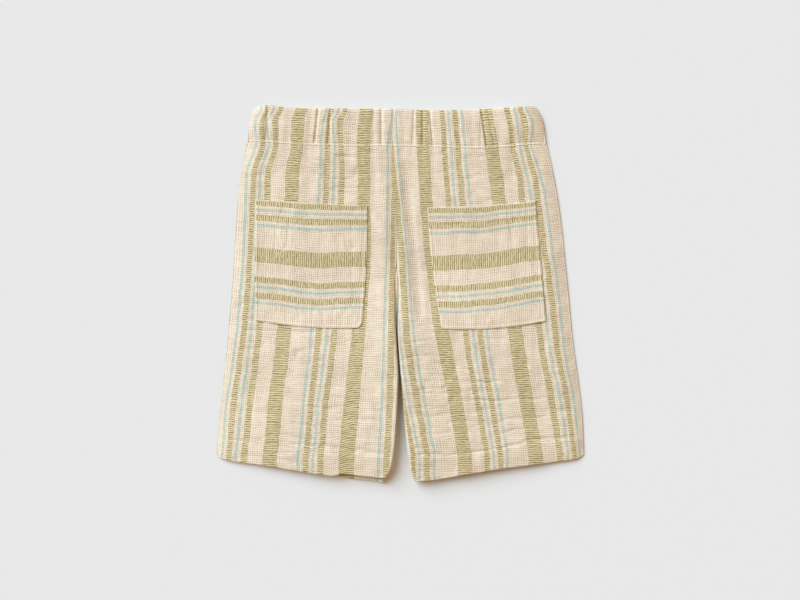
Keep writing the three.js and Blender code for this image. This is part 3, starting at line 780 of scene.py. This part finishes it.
def gauze_material(props):
    """Double gauze of slubby cotton, loosely woven with thick weft ribs and dyed warp stripes.

    Matt and a little fuzzy: the ribs catch the light from above, small gaps between the yarns
    show darker, and the dyed warp shows between the ribs as short bars. The yarns are drawn
    in pairs, because single ones, half a millimetre thick, are too fine to show.
    """
    material = bpy.data.materials.new("striped_cotton_double_gauze")
    material.use_nodes = True
    tree = material.node_tree
    tree.nodes.clear()
    place = node(tree, "ShaderNodeUVMap", uv_map="cut_cloth")
    metres = node(tree, "ShaderNodeSeparateXYZ", (place,))
    warp = node(tree, "ShaderNodeMath", (metres.outputs[0], 1 / MM), operation="MULTIPLY")
    weft = node(tree, "ShaderNodeMath", (metres.outputs[1], 1 / MM), operation="MULTIPLY")

    # Each rib wavers a little, and from one group of warp yarns to the next it steps up or down.
    waver = patches(tree, place, *RIB_WAVER)
    step = patches(tree, place, *RIB_STEP)
    moved = node(tree, "ShaderNodeMath", (waver, step), operation="ADD")
    along = node(tree, "ShaderNodeMath", (weft, moved), operation="ADD")
    rib = waves(tree, along, WEFT_PITCH)
    sway = patches(tree, place, *YARN_SWAY)
    yarn = waves(tree, node(tree, "ShaderNodeMath", (warp, sway), operation="ADD"), WARP_PITCH)

    # The stripes' edges step in and out from rib to rib.
    ragged = patches(tree, place, *RAGGED_STRIPE)
    edge = node(tree, "ShaderNodeMath", (warp, ragged), operation="ADD")
    green = striped(tree, edge, GREEN_STRIPES)
    blue = striped(tree, edge, BLUE_LINES)

    # Gaps between the yarns: small dots on the grid of warp and weft, stronger in some places.
    low = node(tree, "ShaderNodeMath", (1.0, rib), operation="SUBTRACT")
    dots = node(tree, "ShaderNodeMath", (yarn, low), operation="MULTIPLY")
    dots = node(tree, "ShaderNodeMath", (dots, GAP_SHARPNESS), operation="POWER")
    open_weave = patches(tree, place, *OPEN_WEAVE)
    off = node(tree, "ShaderNodeMath", (warp, RIGHT_LEG_CUT + LOOSE_STRIP_CUT),
               operation="SUBTRACT")
    off = node(tree, "ShaderNodeMath", (off,), operation="ABSOLUTE")
    loose_and_shaded_strip = node(tree, "ShaderNodeMapRange", (off, LOOSE_STRIP_WIDTH / 4, LOOSE_STRIP_WIDTH, 1.0,
                                              0.0))
    run = node(tree, "ShaderNodeMath", (weft, LOOSE_STRIP_MIDDLE), operation="SUBTRACT")
    run = node(tree, "ShaderNodeMath", (run,), operation="ABSOLUTE")
    run = node(tree, "ShaderNodeMapRange", (run, 0.4 * LOOSE_STRIP_LENGTH,
                                            0.6 * LOOSE_STRIP_LENGTH, 1.0, 0.0))
    loose_and_shaded_strip = node(tree, "ShaderNodeMath", (loose_and_shaded_strip, run), operation="MULTIPLY")
    open_weave = node(tree, "ShaderNodeMath", (loose_and_shaded_strip, LOOSE_STRIP_GAPS, open_weave),
                      operation="MULTIPLY_ADD")
    # Over that strip the gap colour is also laid on evenly, as painted shade of the crease trough
    # beside the seam.
    painted_trough_shade = node(tree, "ShaderNodeMath", (loose_and_shaded_strip, LOOSE_STRIP_PAINTED_SHADE), operation="MULTIPLY")
    gaps = node(tree, "ShaderNodeMath", (dots, open_weave, painted_trough_shade), operation="MULTIPLY_ADD",
                use_clamp=True)
    slubs = patches(tree, place, *SLUBS)
    shade = patches(tree, place, *DYE_SHADE)

    bar = node(tree, "ShaderNodeMapRange", (rib, *GREEN_BAR))
    bar = node(tree, "ShaderNodeMath", (bar, shade), operation="MULTIPLY")
    dyed = node(tree, "ShaderNodeMix", {0: bar, 6: props.green_light, 7: props.green},
                data_type="RGBA").outputs[2]
    dash = node(tree, "ShaderNodeMapRange", (rib, *BLUE_DASH))
    dash = node(tree, "ShaderNodeMath", (dash, shade), operation="MULTIPLY")
    line = node(tree, "ShaderNodeMath", (blue, dash), operation="MULTIPLY")
    colour = props.cream
    for share, over in ((slubs, props.cream_light), (gaps, props.gap), (green, dyed),
                        (line, props.blue)):
        colour = node(tree, "ShaderNodeMix", {0: share, 6: colour, 7: over},
                      data_type="RGBA").outputs[2]
    tint = patches(tree, place, *UNEVEN_CLOTH)
    colour = node(tree, "ShaderNodeMix", {0: 1.0, 6: colour, 7: tint}, data_type="RGBA",
                  blend_type="MULTIPLY").outputs[2]

    # The weft stands out as ribs where the green warp is, and elsewhere the cloth is pitted.
    ribs = node(tree, "ShaderNodeMath", (green, STRIPE_RIBS, PLAIN_RIBS),
                operation="MULTIPLY_ADD")
    ribs = node(tree, "ShaderNodeMath", (rib, ribs), operation="MULTIPLY")
    pitted = node(tree, "ShaderNodeMath", (dots, PITS, ribs), operation="MULTIPLY_ADD")
    height = node(tree, "ShaderNodeMath", (slubs, SLUB_RIDGES, pitted),
                  operation="MULTIPLY_ADD")
    bump = node(tree, "ShaderNodeBump", {
        "Strength": props.weave_relief, "Distance": RELIEF_DEPTH * MM, "Height": height})
    shader = node(tree, "ShaderNodeBsdfPrincipled", {
        "Base Color": colour, "Roughness": 0.9, "IOR": 1.5, "Specular IOR Level": 0.15,
        "Sheen Weight": 0.12, "Sheen Roughness": 0.5, "Normal": bump})
    node(tree, "ShaderNodeOutputMaterial", {"Surface": shader})
    return material


def plain_material(name, colour, roughness, sheen=0.0):
    material = bpy.data.materials.new(name)
    material.use_nodes = True
    shader = material.node_tree.nodes["Principled BSDF"]
    shader.inputs["Base Color"].default_value = colour
    shader.inputs["Roughness"].default_value = roughness
    shader.inputs["Sheen Weight"].default_value = sheen
    return material


def gauze():
    """The cloth's material, made the first time that it is asked for."""
    made = bpy.data.materials.get("striped_cotton_double_gauze")
    return made or gauze_material(bpy.context.scene.shorts_cloth)


def leg_grid(side, is_back):
    """Places of a leg panel's points from above, with the share across and down."""
    step = FINE_STEP if is_back else COARSE_STEP
    across = shares(PANEL_WIDTH, step, EDGE_ROUND)
    down = np.linspace(0, 1, int(PANEL_LENGTH / step) + 1)
    at_hem = np.array([HEM_ROUND, 1.0, 0.5, 0.2, 0.0])
    down = np.concatenate([down[:-1], 1 - at_hem / PANEL_LENGTH])
    down = np.unique(np.round(down, 6))
    share, v = np.meshgrid(across, down)
    first_x = section(side + "_side", WAIST_SECTION)
    last_x = section(side + "_inner", WAIST_SECTION)
    top = waist_y(first_x + share * (last_x - first_x))
    hem = smooth_table(HEM_LINE["share"], HEM_LINE[side], share)
    peep = ease(PEEP_START, PEEP_START + PEEP_FADE, share) if side == "left" else 0.0
    hem = hem + (FRONT_PEEP * peep if is_back else FRONT_SHORT * (1 - peep))
    y = top + (hem - top) * v
    first_x, last_x = section(side + "_side", y), inner_x(side, y, is_back)
    real = shared_out(share * PANEL_WIDTH, PANEL_WIDTH, np.abs(last_x - first_x), EDGE_ROUND)
    x = first_x + np.sign(last_x - first_x) * real
    return x, y, share, v, hem


def leg_panel(side, is_back):
    """One leg panel of cloth, with its turned-up hem, crinkles and folds."""
    x, y, share, v, hem = leg_grid(side, is_back)
    inward = 1 if side == "left" else -1
    apart = legs_apart(y, is_back)
    to_hem = y - hem
    in_hem = 1 - ease(HEM_DEPTH - 1, HEM_DEPTH + HEM_FOLD_END, to_hem)
    cloth = CLOTH + (HEM_CLOTH - CLOTH) * in_hem
    hem_round = 1 - turn_over(to_hem, HEM_ROUND)
    out, inner = edge_distances(side, x, y, is_back)
    round_out = turned(side, x, y, is_back=is_back)
    seam = seam_height(side, x, y)
    middle = seam - (1 - legs_apart(y)) * SEAT_DIP * bell(inner, SEAT_VALLEY)
    middle = np.maximum(middle, 2 * RIM_CLOTH)
    if is_back:
        depth = bpy.context.scene.shorts_cloth.crinkle_depth / MM
        relief = crinkles(x, y, depth, PANEL_SEEDS[side])
        relief = (relief + along_lines(BACK_CREASES, x, y, CREASE_WAVER)) * round_out
        relief += HEM_STEP * in_hem * round_out
        relief -= HEM_DROP * (1 - slope_down(to_hem, HEM_DROP_DEPTH)) * round_out
        sewn = bell(to_hem - HEM_DEPTH + HEM_STITCH_INSET, HEM_STITCH_WIDTH)
        relief -= HEM_STITCH_DEPTH * sewn * round_out
        relief *= ease(0.0, WAIST_CALM, waist_y(x) - y)
        z = back_height(side, x, y) + relief - HEM_ROUND_DROP * hem_round * round_out
        z = np.maximum(z, middle + SEAM_GAP / 2 + RIM_CLOTH)
    else:
        ridge = front_ridge(side, x, y)
        z = front_height(side, x, y) + FRONT_HEM_LIFT * hem_round * round_out
        z = np.minimum(z, middle - SEAM_GAP / 2 - RIM_CLOTH + ridge)
    outside = np.stack([x, y, z], 2)

    shift_out = cloth * (1 - np.clip(out / (SIDE_ROUND + cloth), 0, 1))
    radius = EDGE_ROUND if is_back else FRONT_ROUND
    shift_in = cloth * (1 - np.clip(inner / (radius + cloth), 0, 1))
    x_in = x + inward * (shift_out - apart * shift_in)
    round_in = turned(side, x, y, cloth, is_back)
    if is_back:
        edge = seam + SEAM_GAP / 2
        z_in = edge + (back_form(side, x_in, y) - cloth - edge) * round_in
        z_in = np.maximum(z_in + relief, middle + SEAM_GAP / 2)
        z_in = np.minimum(z_in, z - RIM_CLOTH)
    else:
        edge = seam - SEAM_GAP / 2
        z_in = np.minimum(cloth + (edge - cloth) * (1 - round_in), middle - SEAM_GAP / 2)
        z_in = np.maximum(z_in + ridge, z + RIM_CLOTH)
    inside = np.stack([x_in, y, z_in], 2)

    length = OUTER_LENGTH + (INNER_LENGTH - OUTER_LENGTH) * share
    uv = np.stack([cut_width(side, x, y), v * length], 2)
    name = ("back_" if is_back else "front_") + side
    facing = (side == "left") == is_back
    piece = shell(name + "_cloth", outside, inside, uv, gauze(), facing)
    dress(piece, name, (0.186, 0.342), grid_area(outside))


class SHORTS_PG_cloth(bpy.types.PropertyGroup):
    """Colours and relief of the cloth."""

    cream: colour_setting("Cream", "Undyed cotton yarn", "#EEDDC5")
    cream_light: colour_setting("Light cream", "Thick slubs of the undyed yarn", "#F7E9D4")
    gap: colour_setting("Gap", "Shade between the yarns", "#A6886E")
    green: colour_setting("Green", "Dyed warp of the green stripes", "#968656")
    green_light: colour_setting("Light green", "Weft rib over the green stripes", "#E7D8AE")
    blue: colour_setting("Blue", "Dyed warp of the fine lines", "#9FC6BC")
    thread: colour_setting("Thread", "Sewing thread", "#EADBC2")
    crinkle_depth: FloatProperty(
        name="Crinkle depth", description="Depth of the small creases", default=0.0010,
        unit="LENGTH")
    weave_relief: FloatProperty(
        name="Weave relief", description="Strength of the woven ribs", default=0.75, min=0, max=1)


class SHORTS_PG_stage(bpy.types.PropertyGroup):
    """Floor, light and camera."""

    floor: colour_setting("Floor", "Colour of the floor", "#E8E8E8")
    camera_height: FloatProperty(
        name="Camera height", description="Height of the camera over the cloth", default=2.6,
        unit="LENGTH")
    seen_width: FloatProperty(
        name="Seen width", description="Width of the floor that the camera sees", default=0.8,
        unit="LENGTH")
    camera_place: FloatVectorProperty(
        name="Camera place", description="Place that the camera looks straight down at",
        size=2, default=(-0.0005, -0.0065), unit="LENGTH")
    key_strength: FloatProperty(
        name="Key light", description="Strength of the large soft light", default=4.008)
    key_colour: FloatVectorProperty(
        name="Key colour", description="Colour of the large soft light", subtype="COLOR",
        min=0, max=1, default=(0.671, 0.835, 1.0))
    fill_strength: FloatProperty(
        name="Fill light", description="Strength of the light from all round", default=0.45)
    fill_colour: FloatVectorProperty(
        name="Fill colour", description="Colour of the light from all round, warmed by the room",
        subtype="COLOR", size=4, min=0, max=1, default=(1.0, 0.7, 0.4, 1.0))


class SHORTS_OT_leg_panels(bpy.types.Operator):
    """Makes the back and front panels of both legs with their turned-up hems"""

    bl_idname = "shorts.leg_panels"
    bl_label = "Leg panels"

    def execute(self, context):
        for side in ("left", "right"):
            leg_panel(side, False)
            leg_panel(side, True)
        return {"FINISHED"}


class SHORTS_OT_waistband(bpy.types.Operator):
    """Makes the gathered waistband, a flattened ring of cloth over wide elastic"""

    bl_idname = "shorts.waistband"
    bl_label = "Waistband"

    def execute(self, context):
        back = shares(BAND_WIDTH, BAND_STEP, BAND_ROUND) * BAND_WIDTH
        front = shares(BAND_WIDTH, COARSE_STEP, BAND_ROUND)[1:-1][::-1] * BAND_WIDTH
        # The rows of points lie closer together at the seam and at the top edge.
        levels = np.unique(np.concatenate([
            [0, 0.01, 0.025, 0.045, 0.07, 0.1], np.linspace(0.1, 0.9, 28),
            [0.93, 0.955, 0.975, 0.99, 1.0]]))
        is_back = np.concatenate([np.ones(len(back), bool), np.zeros(len(front), bool)])
        along, level = np.meshgrid(np.concatenate([back, front]), levels)
        is_back = np.broadcast_to(is_back, along.shape)
        left = smooth_table(BAND_ENDS["level"], BAND_ENDS["left"], level)
        right = smooth_table(BAND_ENDS["level"], BAND_ENDS["right"], level)
        width = right - left
        real = shared_out(along, BAND_WIDTH, width, BAND_ROUND)
        depth = context.scene.shorts_cloth.crinkle_depth / MM

        def face(inside):
            from_end = np.minimum(real, width - real)
            slope = BAND_SLOPE + (BAND_WALL if inside else 0)
            tuck = BAND_WALL * (1 - np.clip(from_end / slope, 0, 1)) if inside else 0
            x = np.where(real < width / 2, left + from_end + tuck, right - from_end - tuck)
            height = top_y(x) - waist_y(x)
            y = waist_y(x) + height * level
            bend = slope_down(from_end, slope)
            gather = np.where(is_back, band_gathers(x, level),
                              -FRONT_GATHER_SHARE * band_gathers(-x, level))
            top_round = 1 - turn_over((1 - level) * height, BAND_TOP_ROUND)
            top_round = BAND_TOP_DROP * top_round
            if inside:
                half = BAND_HEIGHT / 2 - BAND_WALL + top_round * 0.5
            else:
                half = BAND_HEIGHT / 2 - top_round + crinkles(x, y, depth * 0.8, BAND_SEED)
                half = np.where(is_back, half, np.minimum(half, BAND_HEIGHT / 2))
            half = np.where(is_back, 1, -1) * np.maximum(half, BAND_LEAST_HALF)
            z = BAND_END_HEIGHT + (BAND_HEIGHT / 2 + half - BAND_END_HEIGHT) * bend
            # At the seam the band lies level with the panel, with a groove above the stitches.
            sewn = seat_height(x, waist_y(x) - SEAT_EDGE)
            if inside:
                sewn = np.maximum(sewn - BAND_WALL * bend, BAND_END_HEIGHT)
            else:
                up = level * height - WAIST_GROOVE_UP
                sewn = sewn - WAIST_GROOVE * bell(up, WAIST_GROOVE_WIDTH)
            swell = 1 - ease(BAND_SEAM, BAND_SWELL, level)
            z = np.where(is_back, z + (sewn - z) * swell, z)
            z = z + (gather * ease(BAND_SEAM, BAND_GATHER_START, level) * bend
                     * (INSIDE_GATHER_SHARE if inside else 1))
            return np.stack([x, y, z], 2)

        outside, inside = face(False), face(True)
        x, y = outside[..., 0], outside[..., 1]
        left_cut, right_cut = cut_width("left", x, y), cut_width("right", x, y)
        weft = -level * BAND_LENGTH
        left_uv = np.stack([left_cut, weft], 2).reshape(-1, 2)
        right_uv = np.stack([right_cut, weft], 2).reshape(-1, 2)
        seam_x = section("left_inner", WAIST_SECTION)

        def corner_uv(quads, n):
            base = quads % n
            on_left = x.ravel()[base].mean(1) < seam_x
            return np.where(on_left[:, None, None], left_uv[base], right_uv[base])

        piece = shell("waistband_cloth", outside, inside, left_uv, gauze(), False, True, corner_uv)
        dress(piece, "waistband", (0.66, 0.04), grid_area(outside))
        return {"FINISHED"}


def raised(shape, distance):
    """A soft ridge along an edge; shape is its height, place in from the edge and half width."""
    height, middle, width = shape
    return height * bell(distance - middle, width)


def pocket_points(side, a, b):
    """Place from above of a pocket's point: a across from the outer side, b down from the top."""
    pocket = POCKETS[side]

    def straight(edge):
        (x0, y0), (x1, y1) = pocket[edge]
        return x0 + (x1 - x0) * a, y0 + (y1 - y0) * a

    high_x, high_y = straight("top")
    low_x, low_y = straight("bottom")
    top_bow, bottom_bow, outer_bow, inner_bow = pocket["bows"]
    arch, belly = 4 * a * (1 - a), 4 * b * (1 - b)
    x = high_x + (low_x - high_x) * b + belly * (outer_bow + (inner_bow - outer_bow) * a)
    waver = POCKET_TOP_WAVER * arch * value_noise(high_x / 14, 0.0, POCKET_TOP_SEED)
    y_top = high_y + arch * top_bow + waver
    y_low = low_y + arch * bottom_bow
    y = y_top + (y_low - y_top) * b
    length = high_y - low_y

    def corner(radius):
        up = np.clip((1 - b) * length / radius, 0, 1)
        return radius * (1 - np.sqrt(1 - (1 - up) ** 2))

    outer_radius, inner_radius = pocket["radii"]
    pull = corner(outer_radius) * (1 - a) - corner(inner_radius) * a
    inward = 1 if side == "left" else -1
    return x + inward * pull, y


class SHORTS_OT_pockets(bpy.types.Operator):
    """Makes the two patch pockets, cut with the stripes running across"""

    bl_idname = "shorts.pockets"
    bl_label = "Patch pockets"

    def execute(self, context):
        depth = context.scene.shorts_cloth.crinkle_depth / MM
        for side in ("left", "right"):
            a, b = np.meshgrid(shares(POCKET_WIDTH, FINE_STEP, POCKET_EDGE),
                               shares(POCKET_LENGTH, FINE_STEP, POCKET_EDGE))
            x, y = pocket_points(side, a, b)
            ground = back_height(side, x, y)
            puff = POCKET_PUFF * np.sin(math.pi * a) * np.cos(b * math.pi / 2)
            puff = puff * (1 + 0.9 * value_noise(x / 9, y / 60, POCKET_PUFF_SEED))
            to_bottom = (1 - b) * POCKET_LENGTH
            to_top = b * POCKET_LENGTH
            to_sewn = np.minimum(np.minimum(a, 1 - a) * POCKET_WIDTH, to_bottom)
            sewn = turn_over(to_sewn, POCKET_EDGE)
            opening = turn_over(to_top, POCKET_TOP_ROUND)
            small = crinkles(y, x, depth * 0.7, POCKET_SEEDS[side])
            lift = (POCKET_EDGE_CLOTH
                    + (POCKET_CLOTH - POCKET_EDGE_CLOTH) * sewn * (0.5 + 0.5 * opening)
                    + raised(POCKET_ROLL, to_sewn) - raised(POCKET_STITCH_GROOVE, to_sewn)
                    - raised(POCKET_HEM_GROOVE, to_top) + small * sewn)
            lift = np.maximum(lift, POCKET_LEAST_CLOTH)
            outside = np.stack([x, y, ground + POCKET_GAP + puff + lift], 2)
            inside = np.stack([x, y, ground + POCKET_GAP + puff * 0.9], 2)
            waver = POCKET_WAVER * value_noise(x / 20, y / 50, POCKET_STRIPE_SEED)
            cut = grain_at(POCKET_GRAIN[side], x, y) + waver * ease(0.0, 6.0, to_bottom)
            uv = np.stack([cut, (x + POCKET_WEFT_START) * POCKET_WEFT_STRETCH], 2)
            piece = shell("pocket_" + side + "_cloth", outside, inside, uv, gauze(),
                          side == "left")
            dress(piece, "pocket_" + side, (0.113, 0.125), grid_area(outside))
        return {"FINISHED"}


def stitch_line(places, heights, radius):
    """Short rounded stitches along a line of points from above, lying on the given heights."""
    places = np.asarray(places, float)
    steps = np.linalg.norm(np.diff(places, axis=0), axis=1)
    run = np.concatenate([[0], np.cumsum(steps)])
    points, faces = [], []
    for k in range(int(run[-1] / STITCH_PITCH)):
        middle = (k + 0.5) * STITCH_PITCH
        at = np.array([np.interp(middle, run, places[:, c]) for c in (0, 1)])
        ahead = np.array([np.interp(middle + 1, run, places[:, c]) for c in (0, 1)])
        heading = (ahead - at) / max(np.linalg.norm(ahead - at), 1e-6)
        z = heights(at[0], at[1])
        base = len(points)
        for along, size in STITCH_RINGS:
            for s in range(STITCH_SIDES):
                angle = 2 * math.pi * s / STITCH_SIDES
                sideways = math.cos(angle) * radius * size
                up = math.sin(angle) * radius * size - STITCH_DIP * abs(along)
                p = at + heading * along * STITCH_LENGTH
                points.append((p[0] - heading[1] * sideways, p[1] + heading[0] * sideways, z + up))
        for r in range(len(STITCH_RINGS) - 1):
            for s in range(STITCH_SIDES):
                n = (s + 1) % STITCH_SIDES
                a0, a1 = base + r * STITCH_SIDES, base + (r + 1) * STITCH_SIDES
                faces.append((a0 + s, a0 + n, a1 + n, a1 + s))
        faces.append(tuple(base + s for s in reversed(range(STITCH_SIDES))))
        faces.append(tuple(range(len(points) - STITCH_SIDES, len(points))))
    return points, faces


class SHORTS_OT_stitches(bpy.types.Operator):
    """Sews the rows of stitches along the hems, the pocket edges and the waist seam"""

    bl_idname = "shorts.stitches"
    bl_label = "Stitches"

    def execute(self, context):
        rows = []
        for side in ("left", "right"):
            def on_panel(x, y, side=side):
                height = back_height(side, np.array([x]), np.array([y]))[0]
                return float(height) + HEM_STITCH_LIFT

            share = np.linspace(*HEM_STITCH_ENDS, 60)
            hem = smooth_table(HEM_LINE["share"], HEM_LINE[side], share)
            hem = hem + HEM_DEPTH - HEM_STITCH_INSET
            first_x, last_x = section(side + "_side", hem), section(side + "_inner", hem)
            rows.append((np.stack([first_x + share * (last_x - first_x), hem], 1), on_panel,
                         STITCH_RADIUS))

            inset = POCKET_STITCH_INSET
            down = np.linspace(POCKET_STITCH_TOP, 1 - inset, 40)
            a = np.concatenate([np.full(40, inset), np.linspace(inset, 1 - inset, 40),
                                np.full(40, 1 - inset)])
            b = np.concatenate([down, np.full(40, 1 - inset), down[::-1]])
            x, y = pocket_points(side, a, b)
            rows.append((np.stack([x, y], 1),
                         lambda x, y, f=on_panel: f(x, y) + POCKET_STITCH_LIFT, STITCH_RADIUS))

        def on_band(x, y):
            below = y - WAIST_STITCH_UP - SEAT_EDGE
            height = seat_height(np.array([x]), np.array([below]))[0]
            return float(height) + WAIST_STITCH_LIFT

        xs = np.linspace(*WAIST_STITCH_ENDS, 200)
        line = np.stack([xs, waist_y(xs) + WAIST_STITCH_UP], 1)
        rows.append((line, on_band, WAIST_STITCH_RADIUS))
        points, faces = [], []
        for places, heights, radius in rows:
            p, f = stitch_line(places, heights, radius)
            faces += [tuple(i + len(points) for i in face) for face in f]
            points += p
        mesh = bpy.data.meshes.new("stitches")
        mesh.from_pydata([tuple(c * MM for c in p) for p in points], [], faces)
        mesh.polygons.foreach_set("use_smooth", np.ones(len(faces), bool))
        mesh.materials.append(plain_material(
            "spun_cotton_sewing_thread", context.scene.shorts_cloth.thread, 0.8, 0.2))
        piece = bpy.data.objects.new("stitches", mesh)
        context.scene.collection.objects.link(piece)
        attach(piece, "root")
        return {"FINISHED"}


class SHORTS_OT_stage(bpy.types.Operator):
    """Lays the floor and places the lights and the camera"""

    bl_idname = "shorts.stage"
    bl_label = "Stage"

    def execute(self, context):
        props = context.scene.shorts_stage
        mesh = bpy.data.meshes.new("floor")
        half = FLOOR_HALF
        mesh.from_pydata([(-half, -half, 0), (half, -half, 0), (half, half, 0), (-half, half, 0)],
                         [], [(0, 1, 2, 3)])
        mesh.materials.append(plain_material("matt_painted_board", props.floor, 0.9))
        floor = bpy.data.objects.new("floor", mesh)
        floor.location.z = -FLOOR_SINK
        context.scene.collection.objects.link(floor)

        key = bpy.data.lights.new("key", "SUN")
        key.energy = props.key_strength
        key.color = props.key_colour
        key.angle = math.radians(KEY_SPREAD)
        lamp = bpy.data.objects.new("key", key)
        heading = Vector((*KEY_HEADING, -math.tan(math.radians(KEY_ABOVE_FLOOR))))
        lamp.rotation_mode = "QUATERNION"
        lamp.rotation_quaternion = heading.to_track_quat("-Z", "Y")
        context.scene.collection.objects.link(lamp)

        world = bpy.data.worlds.new("studio")
        world.use_nodes = True
        world.node_tree.nodes["Background"].inputs[0].default_value = props.fill_colour
        world.node_tree.nodes["Background"].inputs[1].default_value = props.fill_strength
        context.scene.world = world

        camera = bpy.data.cameras.new("camera")
        camera.sensor_width = SENSOR_WIDTH
        camera.lens = SENSOR_WIDTH * props.camera_height / props.seen_width
        eye = bpy.data.objects.new("camera", camera)
        eye.location = (*props.camera_place, props.camera_height + CLOTH_TOP)
        context.scene.collection.objects.link(eye)
        context.scene.camera = eye
        context.scene.view_settings.view_transform = "Standard"
        context.scene.view_settings.look = "None"
        return {"FINISHED"}


class SHORTS_PT_panel(bpy.types.Panel):
    """Lists the pieces of the shorts and their settings"""

    bl_label = "Bermuda shorts"
    bl_space_type = "VIEW_3D"
    bl_region_type = "UI"
    bl_category = "Shorts"

    def draw(self, context):
        for group in (context.scene.shorts_cloth, context.scene.shorts_stage):
            box = self.layout.box()
            for name in group.__annotations__:
                box.prop(group, name)
        for operator in OPERATORS:
            self.layout.operator(operator.bl_idname)


OPERATORS = (
    SHORTS_OT_leg_panels,
    SHORTS_OT_waistband,
    SHORTS_OT_pockets,
    SHORTS_OT_stitches,
    SHORTS_OT_stage,
)
CLASSES = (SHORTS_PG_cloth, SHORTS_PG_stage, *OPERATORS, SHORTS_PT_panel)


def register():
    for cls in CLASSES:
        bpy.utils.register_class(cls)
    bpy.types.Scene.shorts_cloth = PointerProperty(type=SHORTS_PG_cloth)
    bpy.types.Scene.shorts_stage = PointerProperty(type=SHORTS_PG_stage)


def unregister():
    del bpy.types.Scene.shorts_stage
    del bpy.types.Scene.shorts_cloth
    for cls in reversed(CLASSES):
        bpy.utils.unregister_class(cls)


def main():
    register()
    bpy.ops.shorts.leg_panels()
    bpy.ops.shorts.waistband()
    bpy.ops.shorts.pockets()
    bpy.ops.shorts.stitches()
    bpy.ops.shorts.stage()


if __name__ == "__main__":
    main()
